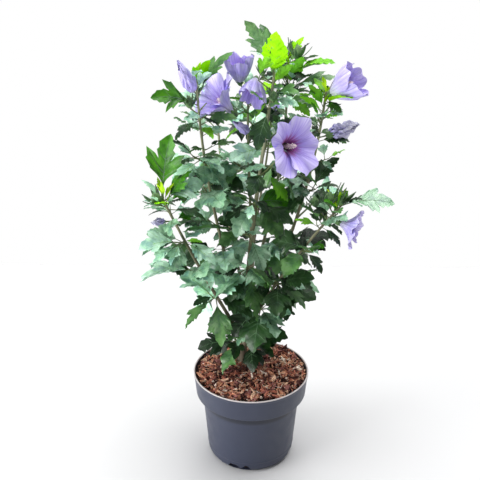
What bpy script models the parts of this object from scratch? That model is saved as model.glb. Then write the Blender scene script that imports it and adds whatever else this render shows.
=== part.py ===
"""A young hibiscus shrub grown as a bush in its nursery pot, in metres.

The origin is the middle of the pot's flat underside, +Z is up and -Y is the
shrub's front. Each object is one solid: the pot, the root ball, the trunk with
the stubs of its forks, each bough as one tapering limb, and each spray of
leaves, buds and blooms as one fused mass that keeps to its own space.
"""

import bmesh
import bpy
import numpy as np
from mathutils.bvhtree import BVHTree

GAP = 0.0003  # clear space between neighbouring pieces

# ---- pot ----
POT_HEIGHT = 0.160
RIM_RADIUS = 0.0988
COLLAR_HEIGHT = 0.039
COLLAR_FOOT_RADIUS = 0.0945
BODY_TOP_RADIUS = 0.0835
BODY_FOOT_RADIUS = 0.0748
SOLE_RADIUS = 0.0664
FOOT_BEVEL = 0.0090
WALL = 0.0018
LIP = 0.0026
FLOOR = 0.0030
POT_STEPS = 32
DRAIN_SLOTS = 4
DRAIN_LENGTH = 0.040
DRAIN_HEIGHT = 0.0095
DRAIN_BEARING = -105.0

# ---- root ball ----
MULCH_EDGE = 0.1545
MULCH_TOP = 0.1670
MULCH_FLAT = 0.040

# ---- limbs ----
LIMB_SIDES = 6
LIMB_RINGS = 8
TRUNK_FOOT = (-0.0155, 0.011)
TRUNK_LENGTH = 0.104
TRUNK_RADII = (0.0062, 0.0046)
FLARE = 0.0032
FLARE_LENGTH = 0.016

# Each row: parent, distance along the parent, stub left on the parent, full
# length, where the bough stops and its leafy tip takes over, bearing at foot
# and tip, climb at foot and tip, radius at foot and tip.
LIMBS = {
    "leader": ("trunk", 0.104, 0.0, 0.393, 0.335, (285, 387), (84, 82), (0.0044, 0.0019)),
    "left_low": ("trunk", 0.047, 0.022, 0.308, 0.245, (205, 213), (61, 66), (0.0032, 0.0017)),
    "right": ("trunk", 0.055, 0.022, 0.430, 0.352, (20, -35), (63, 84), (0.0032, 0.0017)),
    "right_low": ("trunk", 0.059, 0.024, 0.296, 0.235, (327, 345), (65, 52), (0.0030, 0.0016)),
    "right_in": ("trunk", 0.063, 0.026, 0.451, 0.385, (75, -42), (65, 92), (0.0030, 0.0016)),
    "left_mid": ("trunk", 0.069, 0.030, 0.423, 0.352, (150, 256), (74, 83), (0.0031, 0.0016)),
    "back_left": ("leader", 0.030, 0.020, 0.320, 0.265, (116, 104), (46, 80), (0.0028, 0.0016)),
    "back_right": ("right_in", 0.080, 0.018, 0.290, 0.235, (95, 48), (40, 84), (0.0026, 0.0015)),
    "left_in": ("leader", 0.115, 0.018, 0.247, 0.175, (265, 312), (110, 86), (0.0024, 0.0015)),
}

# ---- leafy masses ----
SHOOT_SIDES = 5
TURN = 137.5  # a leaf's bearing from the one below it
# A leaf's sections: share of its length, half its width and the depth of its keel.
LEAF_SECTIONS = ((0.0, 0.013, 0.014), (0.2, 0.02, 0.02), (0.53, 0.28, 0.03))
LEAF_DROOP = 40.0
TIP_CLIMBS = (-38, 46)  # of the leaves on a leafy tip, from its foot to its end
SHOOT_CLIMBS = (-58, 22)  # of those on a side shoot, which hang more
LIGHT_ROLL = 26.0  # how far a leaf that grows sideways rolls its face to the light in front
SPARE = 0.0007  # how much bigger than itself a piece is tried for room
SMALLER = (1.0, 0.85, 0.7)

# Each row: limb, distance along it (None for the limb's own leafy tip), shoot
# length, bearing, climb, leaves dealt out by rule, twigs, leaf length, seed.
MASSES = {
    "crown_top": ("leader", None, 0, 0, 0, 9, 2, 0.052, 11),
    "crown_left_in": ("left_in", None, 0, 0, 0, 9, 2, 0.046, 12),
    "crown_left": ("left_mid", None, 0, 0, 0, 9, 2, 0.048, 13),
    "crown_right_in": ("right_in", None, 0, 0, 0, 10, 2, 0.048, 14),
    "crown_right": ("right", None, 0, 0, 0, 9, 2, 0.046, 15),
    "side_left": ("left_low", None, 0, 0, 0, 5, 1, 0.048, 61),
    "side_right": ("right_low", None, 0, 0, 0, 6, 1, 0.057, 17),
    "back_left_top": ("back_left", None, 0, 0, 0, 10, 2, 0.068, 18),
    "back_right_top": ("back_right", None, 0, 0, 0, 10, 2, 0.068, 19),
    "leader_front": ("leader", 0.192, 0.030, -95, 30, 5, 0, 0.06, 21),
    "leader_left": ("leader", 0.141, 0.026, 200, 25, 5, 0, 0.064, 22),
    "leader_low": ("leader", 0.078, 0.034, -102, 42, 6, 0, 0.068, 23),
    "leader_back": ("leader", 0.165, 0.040, 90, 35, 7, 1, 0.064, 24),
    "leader_high": ("leader", 0.265, 0.034, 75, 35, 7, 1, 0.057, 25),
    "bloom_front": ("leader", 0.240, 0.048, -52, 40, 5, 0, 0.055, 26),
    "left_in_side": ("left_in", 0.125, 0.026, 190, 35, 5, 0, 0.052, 27),
    "left_high": ("left_mid", 0.297, 0.028, 235, 30, 4, 0, 0.055, 28),
    "left_middle": ("left_mid", 0.243, 0.028, 250, 25, 5, 0, 0.062, 29),
    "left_inner": ("left_mid", 0.143, 0.030, 265, 30, 6, 0, 0.066, 30),
    "left_back": ("left_mid", 0.235, 0.045, 125, 30, 7, 1, 0.064, 31),
    "low_left_tip": ("left_low", 0.222, 0.022, 260, 20, 5, 0, 0.057, 32),
    "low_left_out": ("left_low", 0.163, 0.024, 235, 20, 6, 0, 0.066, 33),
    "low_left_in": ("left_low", 0.106, 0.026, 262, 20, 7, 0, 0.072, 34),
    "low_left_back": ("left_low", 0.120, 0.040, 140, 20, 6, 1, 0.064, 35),
    "low_right_in": ("right_low", 0.125, 0.024, 275, 20, 7, 0, 0.07, 36),
    "low_right_out": ("right_low", 0.198, 0.024, 300, 15, 6, 0, 0.057, 37),
    "right_middle": ("right", 0.270, 0.028, 300, 25, 6, 0, 0.057, 38),
    "right_inner": ("right", 0.177, 0.028, 280, 25, 6, 0, 0.066, 39),
    "right_back": ("right", 0.225, 0.045, 35, 30, 7, 1, 0.064, 40),
    "right_in_front": ("right_in", 0.238, 0.030, 260, 30, 5, 0, 0.057, 41),
    "right_in_low": ("right_in", 0.140, 0.034, 30, 20, 5, 0, 0.062, 42),
    "back_left_low": ("back_left", 0.120, 0.040, 175, 10, 6, 1, 0.066, 43),
    "back_left_in": ("back_left", 0.190, 0.040, 80, 20, 7, 1, 0.064, 44),
    "back_right_low": ("back_right", 0.110, 0.040, 100, 10, 7, 1, 0.066, 45),
    "back_right_out": ("back_right", 0.180, 0.040, 0, 15, 6, 1, 0.064, 46),
    "heart_left": ("left_mid", 0.088, 0.030, 245, 15, 8, 0, 0.074, 51),
    "heart_right": ("right", 0.108, 0.030, 300, 15, 8, 0, 0.07, 52),
    "heart_low": ("right_low", 0.072, 0.026, 262, 10, 8, 0, 0.072, 53),
    "foot_left": ("trunk", 0.040, 0.016, 215, 35, 6, 0, 0.066, 47),
    "foot_right": ("trunk", 0.034, 0.016, 320, 35, 5, 0, 0.066, 48),
}

# The leading leaves of each mass: share along its stem, bearing, climb, length,
# roll, and tint.
LEADING = {
    "crown_top": (
        (1.00, -162, 58, 0.084, 34, "mid"),
        (0.92, 123, 62, 0.078, -12, "mid"),
        (0.84, -84, 72, 0.070, -9, "lime"),
        (0.68, -36, 44, 0.047, -35, "fresh"),
        (0.60, 38, -25, 0.038, 0, "fresh"),
        (0.12, -131, -65, 0.074, -39, "deep"),
        (0.20, -17, -32, 0.032, 0, "mid"),
    ),
    "crown_left_in": (
        (0.76, -154, 15, 0.045, 0, "fresh"),
        (0.84, 21, 22, 0.034, 0, "mid"),
        (0.32, -150, -27, 0.044, 0, "fresh"),
        (0.44, -39, -55, 0.054, 25, "deep"),
    ),
    "crown_left": (
        (0.68, 3, 50, 0.080, 14, "fresh"),
        (0.48, -159, 12, 0.072, 0, "fresh"),
        (0.88, -2, 62, 0.042, -44, "lime"),
        (0.96, -179, 79, 0.023, -42, "lime"),
        (0.16, -141, -28, 0.050, 0, "deep"),
        (0.24, -39, -15, 0.044, 0, "deep"),
    ),
    "crown_right_in": (
        (0.40, -56, 52, 0.064, -39, "fresh"),
        (0.64, -32, 19, 0.084, 0, "lime"),
        (0.32, -23, 17, 0.086, 26, "mid"),
        (0.48, -131, 51, 0.047, 25, "fresh"),
        (0.12, -59, -13, 0.064, 0, "fresh"),
        (0.80, -15, 28, 0.053, 0, "mid"),
    ),
    "crown_right": (
        (0.76, -48, 16, 0.056, 0, "lime"),
        (0.56, -151, 36, 0.052, 0, "fresh"),
        (0.68, -158, 54, 0.045, 43, "fresh"),
        (0.32, -137, 22, 0.051, 0, "mid"),
        (0.84, -55, -20, 0.038, 0, "deep"),
        (0.24, -117, -16, 0.038, 0, "deep"),
    ),
    "side_left": (
        (0.96, 43, 78, 0.094, 53, "bright"),
        (0.80, 15, 50, 0.064, 36, "bright"),
        (0.72, -103, 24, 0.041, 0, "lime"),
        (0.64, -16, -12, 0.063, 0, "deep"),
        (0.88, 30, 16, 0.068, 26, "pale"),
        (0.56, -134, 6, 0.040, 0, "deep"),
    ),
    "side_right": (
        (1.00, 0, 2, 0.078, 0, "pale"),
        (0.52, -58, 13, 0.043, 0, "pale"),
        (0.36, 7, -35, 0.034, 0, "deep"),
        (0.80, -41, 62, 0.040, 0, "fresh"),
        (0.28, -154, 43, 0.054, 0, "mid"),
    ),
    "leader_front": (
        (1.00, -123, -61, 0.027, 0, "pale"),
        (0.32, -16, -23, 0.066, 0, "deep"),
        (0.92, -178, 17, 0.033, 0, "mid"),
    ),
    "leader_left": (
        (0.60, -163, 7, 0.094, 0, "mid"),
    ),
    "leader_low": (
        (1.00, -37, -29, 0.063, 0, "mid"),
        (0.12, -72, -51, 0.085, 0, "mid"),
        (0.20, -130, -45, 0.060, 0, "deep"),
    ),
    "bloom_front": (
        (1.00, -12, -68, 0.065, 0, "deep"),
        (0.92, 20, -33, 0.081, 0, "mid"),
        (0.76, -128, -64, 0.035, 0, "mid"),
    ),
    "left_in_side": (
        (0.48, -161, 41, 0.049, 0, "pale"),
        (0.28, -157, -40, 0.044, 0, "mid"),
    ),
    "left_high": (
        (1.00, -161, 34, 0.046, 0, "deep"),
        (0.92, -138, -21, 0.039, 0, "deep"),
        (0.84, -20, 3, 0.045, 0, "mid"),
        (0.76, -22, -24, 0.050, 0, "pale"),
    ),
    "left_middle": (
        (0.76, -149, -21, 0.040, 0, "pale"),
        (0.68, -15, -20, 0.046, 0, "mid"),
    ),
    "left_inner": (
        (1.00, -158, -7, 0.047, 0, "mid"),
        (0.92, -20, -8, 0.029, 0, "pale"),
    ),
    "low_left_tip": (
        (1.00, -154, -35, 0.060, 0, "pale"),
        (0.88, -121, -44, 0.039, 0, "pale"),
        (0.64, -15, 6, 0.033, 0, "fresh"),
    ),
    "low_left_out": (
        (0.32, -152, 0, 0.095, 0, "pale"),
        (0.12, -44, 56, 0.059, -24, "mid"),
    ),
    "low_left_in": (
        (0.12, -80, -40, 0.085, 0, "mid"),
        (0.20, -138, -30, 0.073, 0, "pale"),
        (0.28, -144, -4, 0.042, 0, "deep"),
    ),
    "foot_left": (
        (0.64, -93, -2, 0.057, 0, "deep"),
        (0.76, -141, 53, 0.080, 0, "deep"),
    ),
    "foot_right": (
        (0.64, -60, 9, 0.072, 0, "deep"),
        (0.72, -67, 39, 0.085, 0, "deep"),
        (0.88, -33, 46, 0.089, 0, "deep"),
    ),
    "low_right_in": (
        (0.12, -51, -17, 0.069, 0, "mid"),
        (0.20, -5, -9, 0.045, 0, "pale"),
        (0.28, -82, -42, 0.059, 0, "deep"),
    ),
    "low_right_out": (
        (0.12, -32, -44, 0.044, 0, "deep"),
        (0.20, -49, 24, 0.044, 0, "bright"),
    ),
    "right_middle": (
        (0.24, -132, -22, 0.052, 0, "deep"),
        (0.52, -19, 14, 0.045, 0, "deep"),
        (0.60, 11, 50, 0.065, 27, "deep"),
    ),
    "right_inner": (
        (0.96, 11, 44, 0.040, 0, "deep"),
        (0.52, -142, 26, 0.047, 0, "deep"),
    ),
    "right_in_front": (
        (0.28, -50, 29, 0.048, 0, "pale"),
        (0.84, -163, 44, 0.036, 0, "mid"),
    ),
}

# Flowers and buds of a mass: share along its stem, stalk bearing, climb and
# length, bearing and climb of the flower, its length, its kind and its spread.
BLOOMS = {
    "crown_left": (
        (0.70, (-153, 49, 0.009), (-138, 55), 0.053, "furled", 0),
        (0.30, (-165, 35, 0.016), (180, 85), 0.018, "bud", 0),
    ),
    "crown_left_in": (
        (0.65, (-130, -10, 0.028), (-158, 42), 0.058, "open", 58),
        (0.95, (-150, 50, 0.022), (-110, 80), 0.047, "open", 34),
        (1.00, (-60, 48, 0.034), (-108, -50), 0.043, "open", 40),
        (0.10, (-88, 24, 0.023), (-143, 35), 0.034, "furled", 0),
    ),
    "bloom_front": ((0.90, (22, 17, 0.018), (-58, 34), 0.054, "open", 66),),
    "crown_right": (
        (0.85, (-40, 53, 0.010), (-21, 30), 0.060, "open", 38),
        (0.10, (-35, 21, 0.015), (-5, 16), 0.051, "furled", 0),
    ),
    "side_right": (
        (0.45, (-2, -4, 0.013), (-22, -12), 0.042, "open", 55),
        (0.50, (-165, 46, 0.030), (180, 82), 0.017, "bud", 0),
        (0.70, (-179, 62, 0.016), (0, 88), 0.021, "bud", 0),
        (0.85, (69, 76, 0.007), (0, 57), 0.024, "bud", 0),
    ),
    "side_left": (
        (0.30, (-151, 3, 0.013), (-159, 10), 0.024, "furled", 0),
        (0.70, (-176, 22, 0.011), (-131, 59), 0.024, "bud", 0),
    ),
    "crown_top": (
        (0.75, (-155, 34, 0.020), (180, 81), 0.012, "bud", 0),
        (0.20, (-72, 26, 0.018), (180, 89), 0.016, "bud", 0),
    ),
    "crown_right_in": (
        (0.15, (-82, 13, 0.030), (180, 88), 0.020, "bud", 0),
        (1.00, (-46, 16, 0.020), (0, 87), 0.022, "bud", 0),
    ),
    "back_left_top": (
        (0.60, (115, 30, 0.016), (110, 40), 0.052, "open", 60),
        (1.00, (60, 60, 0.010), (40, 70), 0.020, "bud", 0),
    ),
    "back_right_top": (
        (1.00, (75, 60, 0.012), (70, 60), 0.048, "furled", 0),
        (0.50, (20, 30, 0.014), (20, 60), 0.020, "bud", 0),
    ),
}


def line_of(foot, length, bearing, climb, steps=40):
    """Points along a limb whose bearing and climb turn evenly from foot to tip."""
    share = (np.arange(steps) + 0.5) / steps
    b = np.radians(bearing[0] + (bearing[1] - bearing[0]) * share)
    c = np.radians(climb[0] + (climb[1] - climb[0]) * share)
    way = np.stack([np.cos(c) * np.cos(b), np.cos(c) * np.sin(b), np.sin(c)], axis=1)
    return np.vstack([foot, foot + np.cumsum(way, axis=0) * length / steps])


def at(line, distance):
    """The point this far along a line."""
    run = np.r_[0, np.cumsum(np.linalg.norm(np.diff(line, axis=0), axis=1))]
    return np.array([np.interp(distance, run, line[:, k]) for k in range(3)])


def unit(vector):
    return vector / np.linalg.norm(vector)


def way_of(bearing, climb):
    """The direction with this compass bearing and this climb above level."""
    b, c = np.radians(bearing), np.radians(climb)
    return np.array([np.cos(c) * np.cos(b), np.cos(c) * np.sin(b), np.sin(c)])


def across(bearing, climb, roll):
    """The level direction square to a bearing, rolled about the direction of travel."""
    b, r = np.radians(bearing), np.radians(roll)
    side = np.array([-np.sin(b), np.cos(b), 0.0])
    return np.cos(r) * side + np.sin(r) * np.cross(way_of(bearing, climb), side)


def limb_lines():
    """Every limb's centre line, from the parent's own line outwards."""
    trunk_foot = np.array([*TRUNK_FOOT, MULCH_TOP + GAP])
    lines = {"trunk": line_of(trunk_foot, TRUNK_LENGTH, (300, 285), (77, 84))}
    for name, (parent, start, _, length, _, bearing, climb, _) in LIMBS.items():
        lines[name] = line_of(at(lines[parent], start), length, bearing, climb)
    return lines


def limb_radius(name, distance):
    """The radius of a limb this far from its foot: an even taper, with the root flare on the trunk."""
    if name == "trunk":
        spread = FLARE * max(0.0, 1 - distance / FLARE_LENGTH) ** 2
        foot, tip = TRUNK_RADII
        return foot + (tip - foot) * distance / TRUNK_LENGTH + spread
    length, (foot, tip) = LIMBS[name][3], LIMBS[name][7]
    return foot + (tip - foot) * distance / length


def shoot_of(name, lines):
    """A mass's own stem: the rest of its limb, or a shoot that starts just off the limb's side."""
    limb, start, length, bearing, climb = MASSES[name][:5]
    if start is None:
        whole, stop = LIMBS[limb][3], LIMBS[limb][4]
        reach = np.linspace(stop + GAP, whole, 9)
        radii = [limb_radius(limb, distance) for distance in reach]
        return np.array([at(lines[limb], distance) for distance in reach]), radii
    axis = at(lines[limb], start)
    ahead = unit(at(lines[limb], start + 0.004) - axis)
    out = way_of(bearing, climb)
    slant = np.linalg.norm(np.cross(ahead, out))
    clear = (limb_radius(limb, start) + 0.0012 + GAP) / slant
    line = line_of(axis + out * clear, length, (bearing, bearing), (climb, climb), 8)
    return line, np.linspace(0.0014, 0.0010, len(line))


# ---- solids as points and faces ----
def loft(rings, point=None):
    """A closed skin of triangles over rings of equal count, its far end capped or drawn to a point."""
    rings = np.asarray(rings)
    rows, sides = rings.shape[:2]
    points = rings.reshape(-1, 3)
    faces = [(0, k + 1, k) for k in range(1, sides - 1)]
    for row in range(rows - 1):
        for k in range(sides):
            a, b = row * sides + k, row * sides + (k + 1) % sides
            faces += [(a, b, b + sides), (a, b + sides, a + sides)]
    last = (rows - 1) * sides
    if point is None:
        faces += [(last, last + k, last + k + 1) for k in range(1, sides - 1)]
    else:
        points = np.vstack([points, point])
        faces += [(last + k, last + (k + 1) % sides, rows * sides) for k in range(sides)]
    return points, faces


def tube(line, radii, sides, point=None, way=None):
    """A round limb along a line, its rings carried along without twist."""
    if way is None:
        way = np.gradient(np.asarray(line), axis=0)
    way = way / np.linalg.norm(way, axis=1)[:, None]
    side = unit(np.cross(way[0], (0.3, 1.0, 0.2)))
    turn = np.arange(sides) * 2 * np.pi / sides
    rings = []
    for centre, ahead, radius in zip(line, way, radii):
        side = unit(side - ahead * (side @ ahead))
        other = np.cross(ahead, side)
        ring = np.outer(np.cos(turn), side) + np.outer(np.sin(turn), other)
        rings.append(centre + radius * ring)
    return loft(rings, point)


def heading(line, reach):
    """The direction of a line at each of these distances."""
    ahead, behind = np.asarray(reach) + 0.002, np.maximum(0.0, np.asarray(reach) - 0.002)
    return np.array([at(line, far) - at(line, near) for far, near in zip(ahead, behind)])


def limb_tube(name, lines, start, stop, rings):
    """The stretch of a limb between two distances from its foot, the trunk's cut flat at the mulch."""
    reach = np.linspace(start, stop, rings)
    if name == "trunk":
        reach = np.unique(np.r_[0, FLARE_LENGTH * 0.4, FLARE_LENGTH, reach[1:]])
    line = [at(lines[name], distance) for distance in reach]
    radii = [limb_radius(name, distance) for distance in reach]
    points, faces = tube(line, radii, LIMB_SIDES, way=heading(lines[name], reach))
    if name == "trunk":
        points[:LIMB_SIDES, 2] = line[0][2]
    return points, faces


def blade_line(root, bearing, climb, length):
    """A leaf's midrib, drooping more the nearer to level it grows."""
    droop = LEAF_DROOP * (0.3 + 0.7 * np.cos(np.radians(climb)))
    turns = (climb + droop / 2, climb - droop / 2)
    return line_of(root, length * 1.01, (bearing, bearing), turns, 20), turns


def leaf(root, bearing, climb, length, roll, spare=0.0):
    """A stalk and a blade broadest at its side lobes, flat above with a keel below."""
    line, turns = blade_line(root, bearing, climb, length)
    rings = []
    for share, half, keel in LEAF_SECTIONS:
        middle = at(line, share * length)
        slope = turns[0] + (turns[1] - turns[0]) * share
        side = across(bearing, slope, roll)
        above = np.cross(way_of(bearing, slope), side)
        half, keel = max(half * length, 0.0007) + spare, max(keel * length, 0.0008) + spare
        lift = above * spare
        rings.append([middle + side * half + lift, middle - side * half + lift, middle - above * keel])
    tip = line[-1] + unit(line[-1] - line[-3]) * spare
    return loft(rings, tip)


def blade_of(solid):
    """The part of a leaf beyond its first band of faces, which runs into the stem."""
    points, faces = solid
    return points, faces[7:]


PETALS = 5
NOTCH = 0.93  # how far out the cuts between the petals reach, against the petals' ends
CUP_SPREAD = 45  # below this spread the petals bulge out at the claw and close towards their ends
CUP_LEAN = (48, 4)


def petal_rib(length, spread):
    """How far out and along its axis a petal is, from claw to end: a flower of small spread is a cup."""
    first, last = CUP_LEAN if spread < CUP_SPREAD else (10, spread * 1.25)
    share = (np.arange(20) + 0.5) / 20
    lean = np.radians(first + (last - first) * share)
    out = np.r_[0.03, 0.03 + np.cumsum(np.sin(lean)) / 20]
    along = np.r_[0.02, 0.02 + np.cumsum(np.cos(lean)) / 20]
    return out * length, along * length


def bloom(base, bearing, climb, length, spread, turn=0.0):
    """An open flower as one funnel with a scalloped edge, and the stamen column in its throat."""
    axis, side = way_of(bearing, climb), across(bearing, climb, turn)
    other = np.cross(axis, side)
    out, along = petal_rib(length, spread)
    thick = 0.02 * length
    rings = []
    # Each ring: step along the petal, then how far it stands off outwards and along the axis.
    skins = ((0, 0.05, -0.05), (12, 0.3, -0.6), (20, 0, 0), (12, -0.3, 1.1), (5, -0.3, 1.1))
    for share, wide, deep in skins:
        ring = []
        for k in range(2 * PETALS):
            place = share if k % 2 == 0 or share < 20 else int(20 * NOTCH)
            angle = np.pi * k / PETALS
            radius = max(out[place] + wide * (length if share == 0 else thick), 0.04 * length)
            height = along[place] + deep * (length if share == 0 else thick)
            ring.append(base + axis * height + radius * (np.cos(angle) * side + np.sin(angle) * other))
        rings.append(ring)
    column = [base + axis * length * share for share in (0.12, 0.62)]
    stamens = tube(column, length * np.array([0.045, 0.045]), 4, base + axis * length * 0.72)
    return [loft(rings), stamens]


FURLED = ((0.0, 0.08), (0.2, 0.13), (0.6, 0.18))
BUD = ((0.0, 0.18), (0.45, 0.36))


def spindle(base, bearing, climb, length, profile, sides):
    """A closed bud or a furled flower: a round form drawn to a point."""
    axis = way_of(bearing, climb)
    line = [base + axis * length * share for share, _ in profile]
    return tube(line, [length * radius for _, radius in profile], sides, base + axis * length)


# ---- room ----
class Room:
    """What already stands where, so that no mass grows into its neighbour or a limb."""

    def __init__(self):
        self.taken = []

    def add(self, owner, solid, blade=False):
        points, faces = solid
        tree = BVHTree.FromPolygons([tuple(p) for p in points], faces)
        self.taken.append((owner, blade, points.min(0), points.max(0), tree))

    def meets(self, solid, owner, own):
        """Whether this solid meets another owner's, or, with own set, one of its owner's blades."""
        points, faces = solid
        low, high = points.min(0), points.max(0)
        if ((points[:, 2] < MULCH_TOP + 0.004) & (np.hypot(points[:, 0], points[:, 1]) < 0.105)).any():
            return True
        tree = None
        for other, blade, least, most, standing in self.taken:
            if (other == owner) != own or (own and not blade):
                continue
            if (low > most).any() or (high < least).any():
                continue
            tree = tree or BVHTree.FromPolygons([tuple(p) for p in points], faces)
            if tree.overlap(standing):
                return True
        return False


def foot_of(axis, out, radius, trees):
    """Where a shoot starts: out from the limb's middle until its foot stands just clear of the bark."""
    side = unit(np.cross(out, (0.31, 0.2, 0.93)))
    other = np.cross(out, side)
    for reach in np.arange(radius * 0.8, radius * 4 + 0.004, 0.0001):
        centre = axis + out * reach
        ring = [centre + 0.0014 * (np.cos(a) * side + np.sin(a) * other) for a in np.arange(8) * np.pi / 4]
        nearest = min(tree.find_nearest(tuple(p))[3] for p in [centre, *ring] for tree in trees)
        if reach > radius and nearest >= GAP:
            return centre
    return centre


def shoots(lines, room):
    """Each mass's stem: its line and its radii."""
    found = {}
    for name, (limb, start, length, bearing, climb, *_) in MASSES.items():
        line, radii = shoot_of(name, lines)
        if start is not None:
            axis, out = at(lines[limb], start), way_of(bearing, climb)
            trees = [tree for owner, _, _, _, tree in room.taken if owner == limb]
            foot = foot_of(axis, out, limb_radius(limb, start), trees)
            line = line + (foot - line[0])
        found[name] = (line, radii)
    return found


def grow(lines, room):
    """Every mass as a list of solids: stems first, then blooms, leading leaves and the leaves by rule."""
    stems = shoots(lines, room)
    masses = {}
    for name, (line, radii) in stems.items():
        pick = np.linspace(0, len(line) - 1, 3 if MASSES[name][1] is None else 2).astype(int)
        stem = tube(line[pick], np.asarray(radii)[pick], SHOOT_SIDES)
        masses[name] = [stem]
        room.add(name, stem, blade=True)
    for name, line_and_radii in stems.items():
        add_blooms(name, line_and_radii[0], room, masses[name])
    for name, rows in LEADING.items():
        line = stems[name][0]
        reach = np.linalg.norm(np.diff(line, axis=0), axis=1).sum()
        for share, bearing, climb, length, roll, _ in rows:
            root = at(line, share * reach * 0.985)
            add_leaf(name, root, (bearing, climb, length, roll), room, masses[name], own=False)
    for name, (line, _) in stems.items():
        add_leaves_by_rule(name, line, room, masses[name])
    return masses


def add_blooms(name, line, room, pieces):
    """The flowers and buds of one mass, each on its own short stalk."""
    reach = np.linalg.norm(np.diff(line, axis=0), axis=1).sum()
    for share, (bearing, climb, stalk), (turn, tilt), size, kind, spread in BLOOMS.get(name, ()):
        root = at(line, share * reach * 0.985)
        end = root + way_of(bearing, climb) * stalk
        new = [tube([root, end + way_of(turn, tilt) * size * 0.04], (0.0011, 0.0013), 4)]
        if kind == "open":
            new += bloom(end, turn, tilt, size, spread)
        elif kind == "furled":
            new.append(spindle(end, turn, tilt, size, FURLED, 6))
        else:
            new.append(spindle(end, turn, tilt, size, BUD, 5))
        if any(room.meets(solid, name, False) for solid in new):
            continue
        for solid in new:
            room.add(name, solid, blade=solid is not new[0])
        pieces += new


def add_leaf(name, root, aim, room, pieces, own):
    """One leaf, smaller if its room is small, and left out if there is none."""
    bearing, climb, length, roll = aim
    for size in SMALLER:
        tried = leaf(root, bearing, climb, length * size, roll, SPARE)
        if room.meets(tried, name, False) or (own and room.meets(blade_of(tried), name, True)):
            continue
        grown = leaf(root, bearing, climb, length * size, roll)
        room.add(name, blade_of(grown), blade=True)
        room.add(name, grown)
        pieces.append(grown)
        return True
    return False


def add_leaves_by_rule(name, line, room, pieces):
    """Leaves set round the stem and its twigs by one turn, upright at the tip and hanging at the foot."""
    count, twigs, size, seed = MASSES[name][5:]
    low, high = TIP_CLIMBS if MASSES[name][1] is None else SHOOT_CLIMBS
    chance = np.random.default_rng(seed)
    reach = np.linalg.norm(np.diff(line, axis=0), axis=1).sum()
    start = chance.uniform(0, 360)
    used = [row[0] for row in LEADING.get(name, ())]
    places = np.linspace(1, 0.1, count + len(used))
    places = [share for share in places if all(abs(share - other) > 0.05 for other in used)]
    spots = [(line, reach, share) for share in places[: count - 2 * twigs]]
    for k in range(twigs):
        root = at(line, reach * (0.25 + 0.4 * (k + 0.5) / twigs))
        twig = line_of(root, size * 0.5, (start + 150 * k,) * 2, (38, 38), 4)
        solid = tube(twig[[0, 4]], (0.0011, 0.0009), 4)
        if room.meets(solid, name, False):
            continue
        room.add(name, solid, blade=True)
        pieces.append(solid)
        spots += [(twig, size * 0.5, 1.0), (twig, size * 0.5, 0.7)]
    for k, (carrier, reach, share) in enumerate(spots):
        root = at(carrier, reach * share * 0.985)
        for attempt in range(4):
            bearing = start + TURN * (k + attempt * 0.7)
            climb = low + (high - low) * share + chance.uniform(-14, 14)
            length = size * chance.uniform(0.78, 1.15)
            roll = LIGHT_ROLL * np.cos(np.radians(bearing)) + chance.uniform(-20, 20)
            if add_leaf(name, root, (bearing, climb, length, roll), room, pieces, own=True):
                break


# ---- objects ----
def material(name, colour, roughness):
    """A plain surface for one kind of piece."""
    made = bpy.data.materials.new(name)
    made.use_nodes = True
    shader = made.node_tree.nodes["Principled BSDF"]
    shader.inputs["Base Color"].default_value = (*colour, 1)
    shader.inputs["Roughness"].default_value = roughness
    return made


def mesh_object(name, solid, look, home):
    points, faces = solid
    mesh = bpy.data.meshes.new(name)
    mesh.from_pydata([tuple(p) for p in points], [], faces)
    mesh.materials.append(look)
    made = bpy.data.objects.new(name, mesh)
    home.objects.link(made)
    return made


def islands_of(work):
    """The separate skins of a mesh, as lists of faces."""
    left, found = set(work.faces), []
    while left:
        island, edge_of_it = [], [left.pop()]
        while edge_of_it:
            face = edge_of_it.pop()
            island.append(face)
            near = {other for edge in face.edges for other in edge.link_faces} & left
            left -= near
            edge_of_it += near
        found.append(island)
    return found


def volume_of(faces):
    """Six times the volume inside these triangles, below zero for a hollow."""
    return sum(face.verts[0].co.dot(face.verts[1].co.cross(face.verts[2].co)) for face in faces)


def merge_flat_faces(mesh):
    """The union's outer skin alone, hollows filled, with the slivers on flat faces merged."""
    work = bmesh.new()
    work.from_mesh(mesh)
    bmesh.ops.triangulate(work, faces=work.faces[:])
    skins = sorted(islands_of(work), key=volume_of)
    spare = [face for skin in skins[:-1] for face in skin]
    bmesh.ops.delete(work, geom=spare, context="FACES")
    bmesh.ops.dissolve_limit(work, angle_limit=np.radians(0.5), verts=work.verts[:], edges=work.edges[:])
    bmesh.ops.triangulate(work, faces=work.faces[:])
    work.to_mesh(mesh)
    work.free()


def fused(name, solids, look, home):
    """One solid from several that run into each other."""
    made = mesh_object(name, solids[0], look, home)
    if len(solids) > 1:
        parts = bpy.data.collections.new(name + "_parts")
        bpy.context.scene.collection.children.link(parts)
        for k, solid in enumerate(solids[1:]):
            mesh_object("%s_%02d" % (name, k), solid, look, parts)
        join = made.modifiers.new("join", "BOOLEAN")
        join.operation = "UNION"
        join.operand_type = "COLLECTION"
        join.collection = parts
        join.solver = "MANIFOLD"
        bpy.context.view_layer.update()
        graph = bpy.context.evaluated_depsgraph_get()
        whole = bpy.data.meshes.new_from_object(made.evaluated_get(graph))
        made.modifiers.clear()
        made.data = whole
        merge_flat_faces(whole)
        for obj in list(parts.objects):
            bpy.data.objects.remove(obj)
        bpy.data.collections.remove(parts)
    return made


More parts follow.
